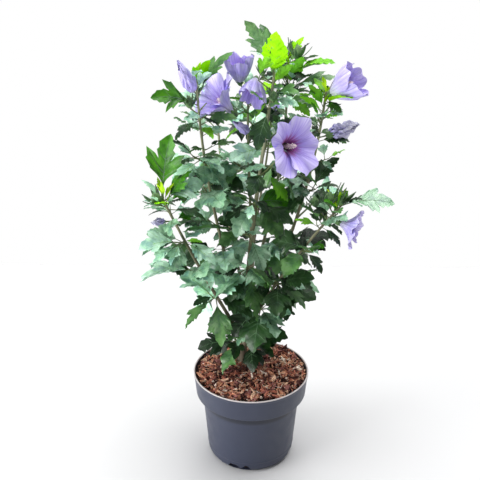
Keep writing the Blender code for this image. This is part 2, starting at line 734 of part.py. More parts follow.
def turned(name, profile, steps, look, home):
    """A round solid turned from a profile in the XZ plane that runs down its outer side."""
    mesh = bpy.data.meshes.new(name)
    edges = [(k, k + 1) for k in range(len(profile) - 1)]
    mesh.from_pydata([(r, 0, z) for r, z in profile], edges, [])
    mesh.materials.append(look)
    made = bpy.data.objects.new(name, mesh)
    home.objects.link(made)
    turn = made.modifiers.new("turn", "SCREW")
    turn.axis = "Z"
    turn.angle = 2 * np.pi
    turn.steps = turn.render_steps = steps
    turn.use_merge_vertices = True
    turn.merge_threshold = 0.00001
    turn.use_smooth_shade = True
    return made


INNER_WALL = (
    (SOLE_RADIUS, FLOOR),
    (BODY_FOOT_RADIUS - WALL - 0.0012, FOOT_BEVEL + 0.001),
    (BODY_TOP_RADIUS - WALL, POT_HEIGHT - COLLAR_HEIGHT - 0.0020),
    (COLLAR_FOOT_RADIUS - WALL - 0.0008, POT_HEIGHT - COLLAR_HEIGHT + 0.0035),
    (RIM_RADIUS - LIP - 0.0004, POT_HEIGHT - 0.0030),
)


def pot_profile():
    """From the middle of the floor up the inside, over the lip, down the outside and in under the sole."""
    bevel = POT_HEIGHT - COLLAR_HEIGHT
    rim, collar, foot = RIM_RADIUS, COLLAR_FOOT_RADIUS, BODY_FOOT_RADIUS
    inside = [(0.0, FLOOR), *INNER_WALL, (rim - LIP, POT_HEIGHT)]
    lip = [(rim - 0.0008, POT_HEIGHT), (rim, POT_HEIGHT - 0.0008), (rim - 0.0002, POT_HEIGHT - 0.0028)]
    shoulder = [(collar, bevel)]
    body = [(BODY_TOP_RADIUS, bevel - 0.0055), (foot + 0.0010, 0.0210), (foot + 0.0018, 0.0200)]
    sole = [(foot + 0.0006, 0.0185), (foot, FOOT_BEVEL), (foot - 0.0045, 0.0022)]
    return inside + lip + shoulder + body + sole + [(SOLE_RADIUS, 0.0), (0.0, 0.0)]


def mulch_profile():
    """From the middle of the mulch out to the wall, then down inside the pot to its floor."""
    wall = [(r - GAP, z) for r, z in INNER_WALL]
    top, low = wall[-1], wall[-2]
    edge = low[0] + (top[0] - low[0]) * (MULCH_EDGE - low[1]) / (top[1] - low[1])
    crown = [(0.0, MULCH_TOP), (MULCH_FLAT, MULCH_TOP)]
    rest = [(edge, MULCH_EDGE), *reversed(wall[1:-1])]
    return crown + rest + [(wall[0][0], FLOOR + GAP), (0.0, FLOOR + GAP)]


def box(low, high, bearing):
    """A straight-sided block turned about the Z axis."""
    sides = [(low[k], high[k]) for k in range(3)]
    corners = np.array([(x, y, z) for x in sides[0] for y in sides[1] for z in sides[2]])
    b = np.radians(bearing)
    spin = np.array([[np.cos(b), -np.sin(b), 0], [np.sin(b), np.cos(b), 0], [0, 0, 1]])
    faces = [(0, 1, 3, 2), (4, 6, 7, 5), (0, 4, 5, 1), (2, 3, 7, 6), (0, 2, 6, 4), (1, 5, 7, 3)]
    return corners @ spin.T, faces


def shade_smooth(obj, angle):
    """Round pieces shade smoothly, with their sharper edges kept."""
    obj.data.set_sharp_from_angle(angle=np.radians(angle))
    obj.data.shade_smooth()
    obj.data.set_sharp_from_angle(angle=np.radians(angle))


def clear_scene():
    for obj in list(bpy.data.objects):
        bpy.data.objects.remove(obj)
    for collection in list(bpy.data.collections):
        bpy.data.collections.remove(collection)


def collection_named(name):
    made = bpy.data.collections.new(name)
    bpy.context.scene.collection.children.link(made)
    return made


clear_scene()
home = collection_named("hibiscus_shrub")
cutters = collection_named("drain_cutters")

slate = material("slate_plastic", (0.075, 0.082, 0.108), 0.45)
mulch = material("bark_mulch", (0.30, 0.15, 0.09), 0.95)
bark = material("bark", (0.17, 0.14, 0.09), 0.8)
leafage = material("leafage", (0.06, 0.16, 0.05), 0.6)

pot = turned("pot", pot_profile(), POT_STEPS, slate, home)
for k in range(DRAIN_SLOTS):
    low = (SOLE_RADIUS - 0.004, -DRAIN_LENGTH / 2, -0.001)
    high = (BODY_FOOT_RADIUS + 0.006, DRAIN_LENGTH / 2, DRAIN_HEIGHT)
    bearing = DRAIN_BEARING + 360 / DRAIN_SLOTS * k
    cutter = mesh_object("drain_cutter_%d" % k, box(low, high, bearing), slate, cutters)
    cutter.hide_render = True
    cutter.display_type = "WIRE"
cut = pot.modifiers.new("drains", "BOOLEAN")
cut.operation = "DIFFERENCE"
cut.operand_type = "COLLECTION"
cut.collection = cutters
cut.solver = "EXACT"

turned("root_ball", mulch_profile(), POT_STEPS, mulch, home)

lines = limb_lines()
room = Room()
for name in lines:
    start, stop, rings = 0.0, TRUNK_LENGTH, LIMB_RINGS
    if name != "trunk":
        start, stop = LIMBS[name][2] + GAP, LIMBS[name][4]
        rings = max(4, int(LIMB_RINGS * (stop - start) / 0.3))
    solids = [limb_tube(name, lines, start, stop, rings)]
    for child, (parent, _, stub, *_) in LIMBS.items():
        if parent == name and stub > 0:
            solids.append(limb_tube(child, lines, 0.0, stub, 3))
    for solid in solids:
        room.add(name, solid)
    shade_smooth(fused(name, solids, bark, home), 60)

for name, solids in grow(lines, room).items():
    fused(name, solids, leafage, home)
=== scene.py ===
import bpy
import numpy as np
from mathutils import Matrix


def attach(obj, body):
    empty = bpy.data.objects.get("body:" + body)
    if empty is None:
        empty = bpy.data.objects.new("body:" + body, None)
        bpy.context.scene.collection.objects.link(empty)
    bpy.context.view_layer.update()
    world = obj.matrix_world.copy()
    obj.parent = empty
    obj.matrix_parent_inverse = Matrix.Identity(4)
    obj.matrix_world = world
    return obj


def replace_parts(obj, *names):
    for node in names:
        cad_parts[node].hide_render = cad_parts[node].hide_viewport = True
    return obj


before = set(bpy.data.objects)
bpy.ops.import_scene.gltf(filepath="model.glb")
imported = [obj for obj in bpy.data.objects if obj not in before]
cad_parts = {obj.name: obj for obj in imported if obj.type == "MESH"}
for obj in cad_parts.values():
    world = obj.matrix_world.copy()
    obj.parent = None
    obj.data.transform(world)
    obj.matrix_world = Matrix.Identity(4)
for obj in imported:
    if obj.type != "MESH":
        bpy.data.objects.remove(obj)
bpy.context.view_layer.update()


# ==== the eye ====
# A camera a metre in front of the shrub and a little above its crown, looking
# down on it, so that the mulch shows inside the rim of the pot.
EYE = (0.0, -0.958, 0.773)
LOOKS_DOWN = 21.4
TURNED = 1.13
LENS = 48.5


def set_out(name, data):
    made = bpy.data.objects.new(name, data)
    bpy.context.scene.collection.objects.link(made)
    return made


camera = set_out("camera", bpy.data.cameras.new("camera"))
bpy.context.scene.camera = camera
camera.location = EYE
camera.rotation_euler = np.radians((90 - LOOKS_DOWN, 0.0, TURNED))
camera.data.sensor_width = 36.0
camera.data.lens = LENS


# ==== the pot ====
# A nursery pot injection-moulded in slate-grey polypropylene: a thin tapering
# wall, a straight collar that steps out to a rolled lip, a low ridge above the
# foot and four drain slots where the wall meets the floor.
POT_HEIGHT = 0.160
RIM_RADIUS = 0.0988
COLLAR_HEIGHT = 0.039
COLLAR_FOOT_RADIUS = 0.0945
BODY_TOP_RADIUS = 0.0835
BODY_FOOT_RADIUS = 0.0748
SOLE_RADIUS = 0.0664
FOOT_HEIGHT = 0.0090
WALL = 0.0018
LIP = 0.0026
FLOOR = 0.0030
POT_STEPS = 180
DRAINS = 4
DRAIN_BEARING = -105.0
DRAIN_LENGTH = 0.040
DRAIN_SILL = 0.0024
# A slot's ragged roof, as heights from one end of it to the other.
DRAIN_ROOF = (0.0060, 0.0140, 0.0128, 0.0136, 0.0118, 0.0060, 0.0104, 0.0146, 0.0130, 0.0060)


def rounded(corners, radii, steps=5):
    """A profile's corners eased: each becomes a curve from the way in to the way out, near the corner."""
    corners, radii = np.array(corners, float), np.array(radii, float)[:, None, None]
    before, after = np.roll(corners, 1, 0) - corners, np.roll(corners, -1, 0) - corners
    before[0], after[-1] = after[0] * -1, before[-1] * -1
    way_in = before / np.linalg.norm(before, axis=1)[:, None]
    way_out = after / np.linalg.norm(after, axis=1)[:, None]
    share = np.linspace(0, 1, steps)[None, :, None]
    eased = corners[:, None] + radii * ((1 - share) ** 2 * way_in[:, None] + share**2 * way_out[:, None])
    return eased.reshape(-1, 2)


def tube_faces(rows, columns):
    """The faces of a grid whose columns close on themselves: four-cornered ones between its rings, and its
    two flat ends."""
    row, column = np.meshgrid(np.arange(rows - 1), np.arange(columns), indexing="ij")
    a, b = row * columns + column, row * columns + (column + 1) % columns
    ends = np.stack([np.arange(columns)[::-1], np.arange(columns) + (rows - 1) * columns])
    return np.stack([a, b, b + columns, a + columns], axis=-1).reshape(-1, 4), ends


def repeated(faces, copies, each):
    """One shape's faces said again for all its copies, whose points follow one another."""
    return (faces[None] + (np.arange(copies) * each)[:, None, None]).reshape(-1, faces.shape[1])


def piece(name, points, faces, look, sheet=None, smooth=True):
    """A mesh from whole arrays: its points, its faces as one array for each number of corners, and each
    point's place on the surface where the finish follows it."""
    mesh = bpy.data.meshes.new(name)
    corners = np.concatenate([group.ravel() for group in faces]).astype(np.int32)
    counts = np.concatenate([np.full(len(group), group.shape[1]) for group in faces])
    mesh.vertices.add(len(points))
    mesh.vertices.foreach_set("co", np.ascontiguousarray(points, np.float32).ravel())
    mesh.loops.add(len(corners))
    mesh.loops.foreach_set("vertex_index", corners)
    mesh.polygons.add(len(counts))
    mesh.polygons.foreach_set("loop_start", (np.cumsum(counts) - counts).astype(np.int32))
    mesh.polygons.foreach_set("use_smooth", np.full(len(counts), smooth))
    if sheet is not None:
        mesh.uv_layers.new(name="sheet").data.foreach_set("uv", sheet[corners].astype(np.float32).ravel())
    mesh.materials.append(look)
    mesh.update(calc_edges=True)
    made = set_out(name, mesh)
    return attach(made, "root") or made


class Finish:
    """A material whose plain values sit on its shader's own sockets, its patterns added step by step."""

    def __init__(self, name, colour, roughness, **values):
        self.look = bpy.data.materials.new(name)
        self.look.use_nodes = True
        self.tree = self.look.node_tree
        self.shader = self.tree.nodes["Principled BSDF"]
        self.shader.inputs["Base Color"].default_value = (*colour, 1)
        self.shader.inputs["Roughness"].default_value = roughness
        for socket, value in values.items():
            self.shader.inputs[socket.replace("_", " ")].default_value = value

    def node(self, kind, link=None, **settings):
        made = self.tree.nodes.new(kind)
        for setting, value in settings.items():
            setattr(made, setting, value)
        if link is not None:
            self.tree.links.new(link, made.inputs[0])
        return made

    def grain(self, scale, stretch=(1, 1, 1), detail=4.0, source="Object"):
        """Noise, stretched along each axis."""
        place = self.node("ShaderNodeMapping", self.node("ShaderNodeTexCoord").outputs[source])
        place.inputs["Scale"].default_value = stretch
        noise = self.node("ShaderNodeTexNoise", place.outputs[0])
        noise.inputs["Scale"].default_value = scale
        noise.inputs["Detail"].default_value = detail
        return noise.outputs[0]

    def along(self, axis, source):
        place = self.node("ShaderNodeTexCoord").outputs[source]
        return self.node("ShaderNodeSeparateXYZ", place).outputs[axis]

    def height(self, low, high):
        """How far up between two heights a point stands, from 0 to 1."""
        return self.between(self.along(2, "Object"), low, high, 0, 1)

    def between(self, source, low, high, to_low, to_high):
        spread = self.node("ShaderNodeMapRange", source)
        for socket, value in zip(spread.inputs[1:5], (low, high, to_low, to_high)):
            socket.default_value = value
        return spread.outputs[0]

    def colours(self, source, *stops):
        ramp = self.node("ShaderNodeValToRGB", source)
        band = ramp.color_ramp
        while len(band.elements) < len(stops):
            band.elements.new(1.0)
        for element, (place, colour) in zip(band.elements, stops):
            element.position = place
            element.color = (*colour, 1)
        return ramp.outputs[0]

    def mixed(self, share, first, second):
        mix = self.node("ShaderNodeMix", data_type="RGBA")
        for socket, source in ((mix.inputs[0], share), (mix.inputs[6], first), (mix.inputs[7], second)):
            if hasattr(source, "is_output"):
                self.tree.links.new(source, socket)
            else:
                socket.default_value = (*source, 1)
        return mix.outputs[2]

    def set(self, socket, source):
        self.tree.links.new(source, self.shader.inputs[socket])
        return self

    def relief(self, source, depth, strength=1.0):
        bump = self.node("ShaderNodeBump")
        bump.inputs["Strength"].default_value = strength
        bump.inputs["Distance"].default_value = depth
        self.tree.links.new(source, bump.inputs["Height"])
        return self.set("Normal", bump.outputs[0])

    def grained(self, grain, *stops, depth=None, strength=1.0):
        """One grain that colours the piece from stop to stop and, given a depth, also stands out on it."""
        self.set("Base Color", self.colours(grain, *stops))
        return (self.relief(grain, depth, strength) if depth else self).look


def slate_plastic():
    """Satin slate-grey plastic: faint upright flow streaks, a fine tooled grain, painted shade in a dark
    band under the collar's ledge, and a painted highlight that makes the lip paler."""
    made = Finish("slate_plastic", (0.035, 0.039, 0.055), 0.40, Specular_IOR_Level=0.5)
    streaks = made.grain(9, (1, 1, 0.12), 3)
    body = made.colours(streaks, (0.3, (0.030, 0.036, 0.064)), (0.7, (0.037, 0.045, 0.078)))
    none, full = (0.0, 0.0, 0.0), (0.8, 0.8, 0.8)
    # Painted shade: the body darkens in a band just under the collar's ledge, where the ledge keeps the
    # light off.
    painted_ledge_shade = made.colours(made.height(0.100, 0.125), (0.08, none), (0.28, full), (0.80, full), (0.845, none))
    body = made.mixed(painted_ledge_shade, body, (0.010, 0.012, 0.020))
    # Painted highlight: the top of the lip is painted paler, as the light that catches it.
    made.set("Base Color", made.mixed(made.height(0.1580, 0.1596), body, (0.62, 0.57, 0.56)))
    made.set("Roughness", made.between(made.grain(60), 0.3, 0.7, 0.36, 0.5))
    return made.relief(made.grain(900, detail=2), 0.0002, 0.35).look


def pot_wall():
    """The pot's whole skin as one closed profile carried round: out under the sole, up the outside, over the
    lip and down the inside."""
    shoulder = POT_HEIGHT - COLLAR_HEIGHT
    rim, foot = RIM_RADIUS, BODY_FOOT_RADIUS
    # Each corner's radius and height, and how far it is eased.
    corners = (
        (0.0004, FLOOR, 0),
        (SOLE_RADIUS - 0.002, FLOOR, 0.0008),
        (foot - WALL - 0.0012, FOOT_HEIGHT + 0.001, 0.0008),
        (BODY_TOP_RADIUS - WALL, shoulder - 0.0020, 0.001),
        (COLLAR_FOOT_RADIUS - WALL - 0.0008, shoulder + 0.0035, 0.0008),
        (rim - LIP - 0.0004, POT_HEIGHT - 0.003, 0.0006),
        (rim - LIP, POT_HEIGHT, 0.0009),
        (rim, POT_HEIGHT, 0.0009),
        (rim - 0.0004, POT_HEIGHT - 0.0045, 0.0006),
        (rim - 0.0012, POT_HEIGHT - 0.0056, 0.0006),
        (COLLAR_FOOT_RADIUS, shoulder, 0.0012),
        (BODY_TOP_RADIUS + 0.0006, shoulder - 0.0032, 0.0010),
        (BODY_TOP_RADIUS, shoulder - 0.0060, 0.002),
        (foot + 0.001, 0.0215, 0.0005),
        (foot + 0.0014, 0.0202, 0.0004),
        (foot + 0.0006, 0.0186, 0.0006),
        (foot, FOOT_HEIGHT, 0.0025),
        (foot - 0.0045, 0.0022, 0.0012),
        (SOLE_RADIUS, 0.0, 0.0008),
        (0.0004, 0.0, 0),
    )
    profile = rounded([corner[:2] for corner in corners], [corner[2] for corner in corners])[::-1]
    angle = np.arange(POT_STEPS) * 2 * np.pi / POT_STEPS
    r, z = profile[:, :1], profile[:, 1:]
    points = np.stack([r * np.cos(angle), r * np.sin(angle), z + 0 * angle], axis=-1).reshape(-1, 3)
    return points, tube_faces(len(profile), POT_STEPS)


def drain_blocks():
    """A block for each slot, out through the foot of the wall, with a level sill and a ragged roof."""
    along = np.linspace(-0.5, 0.5, len(DRAIN_ROOF)) * DRAIN_LENGTH
    sill = [(along[-1], DRAIN_SILL), (along[0], DRAIN_SILL)]
    loop = np.vstack([np.stack([along, DRAIN_ROOF], 1), sill])[::-1]
    count = len(loop)
    points, faces = [], []
    for number in range(DRAINS):
        turn = np.radians(DRAIN_BEARING + 360 / DRAINS * number)
        out, level = np.array([np.cos(turn), np.sin(turn), 0]), np.array([-np.sin(turn), np.cos(turn), 0])
        for reach in (SOLE_RADIUS - 0.004, BODY_FOOT_RADIUS + 0.006):
            points.append(out * reach + level * loop[:, :1] + np.array([0, 0, 1]) * loop[:, 1:])
        for group in tube_faces(2, count):
            faces += (group + number * 2 * count).tolist()
    return np.vstack(points), faces


def cut_away(made, points, faces):
    """A piece less the blocks given, with the cut kept as plain mesh."""
    blocks = bpy.data.meshes.new("drain_blocks")
    blocks.from_pydata(points.tolist(), [], faces)
    cutter = set_out("drain_blocks", blocks)
    cut = made.modifiers.new("drains", "BOOLEAN")
    cut.operation, cut.solver, cut.object = "DIFFERENCE", "EXACT", cutter
    bpy.context.view_layer.update()
    graph = bpy.context.evaluated_depsgraph_get()
    made.data = bpy.data.meshes.new_from_object(made.evaluated_get(graph))
    made.modifiers.clear()
    bpy.data.objects.remove(cutter)
    made.data.set_sharp_from_angle(angle=np.radians(38))


pot = piece("nursery_pot", *pot_wall(), slate_plastic())
cut_away(pot, *drain_blocks())
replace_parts(pot, "pot")


# ==== the mulch ====
# Composted bark spread over the root ball: plates, splinters and crumbs torn from
# red-brown bark, dark and damp in places and bleached in others, heaped towards
# the stems and, at the back, up to the lip.
MOUND_TOP, MOUND_EDGE, MOUND_FLAT, MOUND_RADIUS = 0.1670, 0.1545, 0.040, 0.0945
CHIP_SIDES = 6
# Each kind: its colour, its share where the bark is dry and where it is damp.
CHIP_KINDS = {
    "rust": ((0.520, 0.185, 0.120), 0.19, 0.24),
    "fox": ((0.780, 0.370, 0.225), 0.24, 0.10),
    "umber": ((0.085, 0.030, 0.024), 0.12, 0.28),
    "mauve": ((0.360, 0.145, 0.125), 0.13, 0.20),
    "tan": ((0.880, 0.560, 0.380), 0.19, 0.09),
    "straw": ((0.960, 0.800, 0.670), 0.11, 0.04),
    "char": ((0.018, 0.007, 0.008), 0.04, 0.09),
}
# Each size of chip: how many, the longest, its width as a share of its length
# and how far it may tip out of level.
CHIP_SIZES = (
    (420, 0.0200, (0.26, 0.55), 0.30),
    (1900, 0.0190, (0.10, 0.24), 0.40),
    (3400, 0.0085, (0.30, 0.80), 0.60),
)


def spun(points, angle, axis):
    """Points turned about one axis, each chip by its own angle."""
    a, b = (axis + 1) % 3, (axis + 2) % 3
    turned = points.copy()
    cos, sin = np.cos(angle)[:, None, None], np.sin(angle)[:, None, None]
    turned[..., a] = points[..., a] * cos - points[..., b] * sin
    turned[..., b] = points[..., a] * sin + points[..., b] * cos
    return turned


def chips(count, longest, slim, tipped, chance):
    """Torn flakes lying anyhow: each a ragged outline, thin, bowed along its length, turned to any bearing
    and tipped out of level, on a mound that is level in the middle and falls evenly to the wall. Returns
    points as chip by ring by corner, and where each chip lies."""
    bearing = chance.uniform(0, 2 * np.pi, count)
    radius = (MOUND_RADIUS - longest * 0.22) * np.sqrt(chance.uniform(0, 1, count))
    length = longest * chance.uniform(0.35, 1.0, count) ** 1.3
    width = length * chance.uniform(*slim, count)
    thick = width * chance.uniform(0.2, 0.55, count) + 0.0003
    corner = np.arange(CHIP_SIDES) * 2 * np.pi / CHIP_SIDES
    ragged = chance.uniform(0.66, 1.14, (count, CHIP_SIDES))
    x = ragged * np.cos(corner) * length[:, None] / 2
    y = ragged * np.sin(corner) * width[:, None] / 2
    bow = chance.uniform(-1.1, 1.1, count)[:, None] * x**2 / length[:, None]
    level = np.array([-0.5, 0.5])[None, :, None] * thick[:, None, None]
    taper = np.array([0.82, 1.0])[None, :, None]
    flat = np.broadcast_arrays(x[:, None] * taper, y[:, None] * taper, bow[:, None] + level)
    yaw = chance.uniform(0, 2 * np.pi, count)
    tip = np.clip(chance.normal(0, tipped, count), -1.4 * tipped, 1.4 * tipped)
    local = spun(spun(spun(np.stack(flat, axis=-1), chance.normal(0, 0.5, count), 0), tip, 1), yaw, 2)
    middle = np.stack([radius * np.cos(bearing), radius * np.sin(bearing)], axis=-1)
    fall = np.clip((radius - MOUND_FLAT) / (MOUND_RADIUS - MOUND_FLAT), 0, 1)
    mound = MOUND_TOP + (MOUND_EDGE - MOUND_TOP) * fall
    lumps = 0.0016 * np.sin(middle[:, 0] * 170 + 1) * np.cos(middle[:, 1] * 140)
    banked = 0.0045 * np.clip(middle[:, 1] / MOUND_RADIUS, 0, 1) ** 2
    high = mound + lumps + banked + chance.uniform(-0.0026, 0.0018, count) + 0.10 * length
    return local + np.concatenate([middle, high[:, None]], axis=1)[:, None, None], middle


def bark_chip(name, colour):
    """Dry bark: lengthwise fibres, darker in their grooves."""
    made = Finish("chip_" + name, colour, 0.9, Specular_IOR_Level=0.25)
    dark = tuple(0.5 * value for value in colour)
    fibres = made.grain(520, (1, 1, 2.2), 3)
    return made.grained(fibres, (0.36, dark), (0.6, colour), depth=0.0006, strength=0.7)


chance = np.random.default_rng(41)
heaps = [chips(*size, chance) for size in CHIP_SIZES]
every, places = (np.concatenate(group) for group in zip(*heaps))
patch = np.sin(places[:, 0] * 62 + 1.3) * np.sin(places[:, 1] * 71 + 0.4)
patch = patch + 0.7 * np.sin(places @ (38, -55) + 2)
damp = np.clip(0.45 + 0.55 * patch + chance.normal(0, 0.2, len(places)), 0, 1)[:, None]
shares = np.array([shares for _, *shares in CHIP_KINDS.values()])
odds = np.cumsum((1 - damp) * shares[:, 0] + damp * shares[:, 1], axis=1)
kind = (chance.uniform(0, 1, (len(places), 1)) * odds[:, -1:] > odds).sum(axis=1)
for number, (name, (colour, _, _)) in enumerate(CHIP_KINDS.items()):
    heap = every[kind == number]
    faces = [repeated(group, len(heap), 2 * CHIP_SIDES) for group in tube_faces(2, CHIP_SIDES)]
    made = piece("mulch_chips_" + name, heap.reshape(-1, 3), faces, bark_chip(name, colour), smooth=False)

# The root ball under the chips keeps its own solid, as dark crumbling peat, painted darker still, almost
# black, as painted shade where it shows through the drain slots.
peat = Finish("peat", (0.05, 0.022, 0.014), 0.95, Specular_IOR_Level=0.2)
crumbs = peat.grain(260, detail=6)
peat.grained(crumbs, (0.35, (0.006, 0.003, 0.002)), (0.65, (0.03, 0.013, 0.009)), depth=0.002)
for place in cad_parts["root_ball"].material_slots:
    place.material = peat.look


# ==== trunk and boughs ====
# A short trunk with a slight root flare that forks low into slender upright
# boughs. The bark is thin, grey-brown at the foot and greener above, with fine
# lengthwise furrows and a raised scar wherever a leaf has stood.
TRUNK_FOOT = (-0.0155, 0.011, MOUND_TOP + 0.0003)
TRUNK_LENGTH = 0.104
TRUNK_RADII = (0.0062, 0.0046)
FLARE, FLARE_LENGTH = 0.0032, 0.016
SCAR_EVERY = 0.023
BARK_STEP = 0.0018  # from one ring of the bark to the next
TURN = 137.5  # degrees from one leaf to the next round a stem
BARK_SIDES = 16

# Each row: parent, distance along the parent, where the bough itself stops and
# full length, bearing at foot and tip, climb at foot and tip, radius at both.
LIMBS = {
    "leader": ("trunk", 0.104, 0.335, 0.393, (285, 387), (84, 82), (0.0044, 0.0019)),
    "left_low": ("trunk", 0.047, 0.245, 0.308, (205, 213), (61, 66), (0.0032, 0.0017)),
    "right": ("trunk", 0.055, 0.352, 0.430, (20, -35), (63, 84), (0.0032, 0.0017)),
    "right_low": ("trunk", 0.059, 0.235, 0.296, (327, 345), (65, 52), (0.0030, 0.0016)),
    "right_in": ("trunk", 0.063, 0.385, 0.451, (75, -42), (65, 92), (0.0030, 0.0016)),
    "left_mid": ("trunk", 0.069, 0.352, 0.423, (150, 256), (74, 83), (0.0031, 0.0016)),
    "back_left": ("leader", 0.030, 0.265, 0.320, (116, 104), (46, 80), (0.0028, 0.0016)),
    "back_right": ("right_in", 0.080, 0.235, 0.290, (95, 48), (40, 84), (0.0026, 0.0015)),
    "left_in": ("leader", 0.115, 0.175, 0.247, (265, 312), (110, 86), (0.0024, 0.0015)),
}


def ways(bearing, climb):
    """Directions with these compass bearings and climbs above level."""
    b, c = np.radians(bearing), np.radians(climb)
    return np.stack([np.cos(c) * np.cos(b), np.cos(c) * np.sin(b), np.sin(c)], axis=-1)


def line_of(foot, length, bearing, climb, steps=40):
    """Points along a limb whose bearing and climb turn evenly from foot to tip."""
    share = (np.arange(steps) + 0.5) / steps
    way = ways(bearing[0] + (bearing[1] - bearing[0]) * share, climb[0] + (climb[1] - climb[0]) * share)
    return np.vstack([foot, foot + np.cumsum(way, axis=0) * length / steps])


def length_of(line):
    return np.linalg.norm(np.diff(line, axis=0), axis=1).sum()


def at(line, distance):
    """The point this far along a line."""
    run = np.r_[0, np.cumsum(np.linalg.norm(np.diff(line, axis=0), axis=1))]
    return np.stack([np.interp(distance, run, line[:, k]) for k in range(3)], axis=-1)


def rods(lines, radii, sides):
    """Round stems along many lines at once: at each point a ring stands square to the line, turned from one
    sideways direction that each line keeps. Radii are one for each point, or one for each point and side."""
    lines = np.asarray(lines, float)
    way = np.gradient(lines, axis=1)
    way /= np.linalg.norm(way, axis=2, keepdims=True)
    level = np.abs(way.mean(axis=1)) @ np.array([0.0, 1.0, 0.0]) < 0.75
    aim = np.where(level[:, None], (0.25, 1.0, 0.1), (1.0, 0.1, 0.25))[:, None]
    side = np.cross(way, aim)
    side /= np.linalg.norm(side, axis=2, keepdims=True)
    other = np.cross(way, side)
    turn = np.arange(sides) * 2 * np.pi / sides
    radii = np.asarray(radii, float)
    radii = radii[..., None] if radii.ndim == 2 else radii
    ring = np.cos(turn)[:, None] * side[:, :, None] + np.sin(turn)[:, None] * other[:, :, None]
    points = lines[:, :, None] + radii[..., None] * ring
    count, steps = lines.shape[:2]
    faces = [repeated(group, count, steps * sides) for group in tube_faces(steps, sides)]
    return points.reshape(-1, 3), faces


def bark_radii(reach, turn, foot, tip, length):
    """An even taper with furrows that run up the bark, and a swelling and a scar at each old leaf."""
    s, a = reach[:, None], turn[None, :]
    plain = foot + (tip - foot) * s / length
    furrows = 0.030 * np.sin(5 * a + 9 * np.sin(s * 60) + s * 40) + 0.022 * np.sin(9 * a - s * 170)
    joint = np.round(s / SCAR_EVERY)
    near = np.exp(-(((s - joint * SCAR_EVERY) / 0.0022) ** 2))
    faced = np.exp(-((np.angle(np.exp(1j * (a - np.radians(TURN) * joint))) / 0.7) ** 2))
    return plain * (1 + furrows) + near * (0.00012 + 0.0005 * faced) * (joint > 0)


def bark():
    """Thin bark, brown-grey below and olive above, streaked lengthwise."""
    made = Finish("young_bark", (0.13, 0.11, 0.07), 0.75, Specular_IOR_Level=0.3)
    streaks = made.grain(120, (1, 1, 0.14), 5)
    old = made.colours(streaks, (0.3, (0.105, 0.082, 0.056)), (0.68, (0.25, 0.205, 0.145)))
    young = made.colours(streaks, (0.3, (0.16, 0.18, 0.09)), (0.7, (0.33, 0.35, 0.21)))
    made.set("Base Color", made.mixed(made.height(0.26, 0.58), old, young))
    return made.relief(streaks, 0.0005, 0.6).look


limb_lines = {"trunk": line_of(np.array(TRUNK_FOOT), TRUNK_LENGTH, (300, 285), (77, 84))}
for name, (parent, start, _, length, bearing, climb, _) in LIMBS.items():
    limb_lines[name] = line_of(at(limb_lines[parent], start), length, bearing, climb)

young_bark = bark()
turn = np.arange(BARK_SIDES) * 2 * np.pi / BARK_SIDES
for name, line in limb_lines.items():
    length, (foot, tip) = (TRUNK_LENGTH, TRUNK_RADII) if name == "trunk" else LIMBS[name][3::3]
    reach = np.linspace(0, length, int(length / BARK_STEP))
    radii = bark_radii(reach, turn, foot, tip, length)
    centres = at(line, reach)
    if name == "trunk":
        spread = np.clip(1 - reach / FLARE_LENGTH, 0, 1) ** 2
        radii += (FLARE * spread)[:, None] * (1 + 0.35 * np.cos(4 * turn + 0.6))
        centres[0] -= (0, 0, 0.003)
    made = piece("bark_" + name, *rods(centres[None], radii[None], BARK_SIDES), young_bark)
    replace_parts(made, name)


# ==== shoots and twigs ====
# This year's growth: short side shoots and twigs, smooth and green with a
# brown flush, that spring from the boughs' joints and carry all the leaves.
# They branch by one rule, which also sets out the leaves for the next section.
LEAF_DROOP = 40.0
LIGHT_ROLL = 26.0  # how far a leaf that grows sideways rolls its face to the light in front
SMALLER = (1.0, 0.85, 0.7)
# How far leaves climb above level, at the foot and at the end of a leafy tip and of a side shoot.
TIP_CLIMBS = (-38, 46)
SHOOT_CLIMBS = (-58, 22)
TOP_SEAT = 0.985  # share of a stem's length at which its highest leaf springs
AT_TIP = 0.0004  # a corner of the mass as near as this to a leaf's tip is the leaf's own
AT_TWIG_END = 0.0016
TRIES = 4  # bearings tried before a leaf is given up
SHOOT_RADII = (0.0019, 0.0015, 0.0013, 0.0012, 0.0010)
TWIG_RADII = (0.0012, 0.0011, 0.0010, 0.0010, 0.0009)
SPUR_RADII = (0.0010, 0.0009, 0.0008, 0.0008, 0.0007)

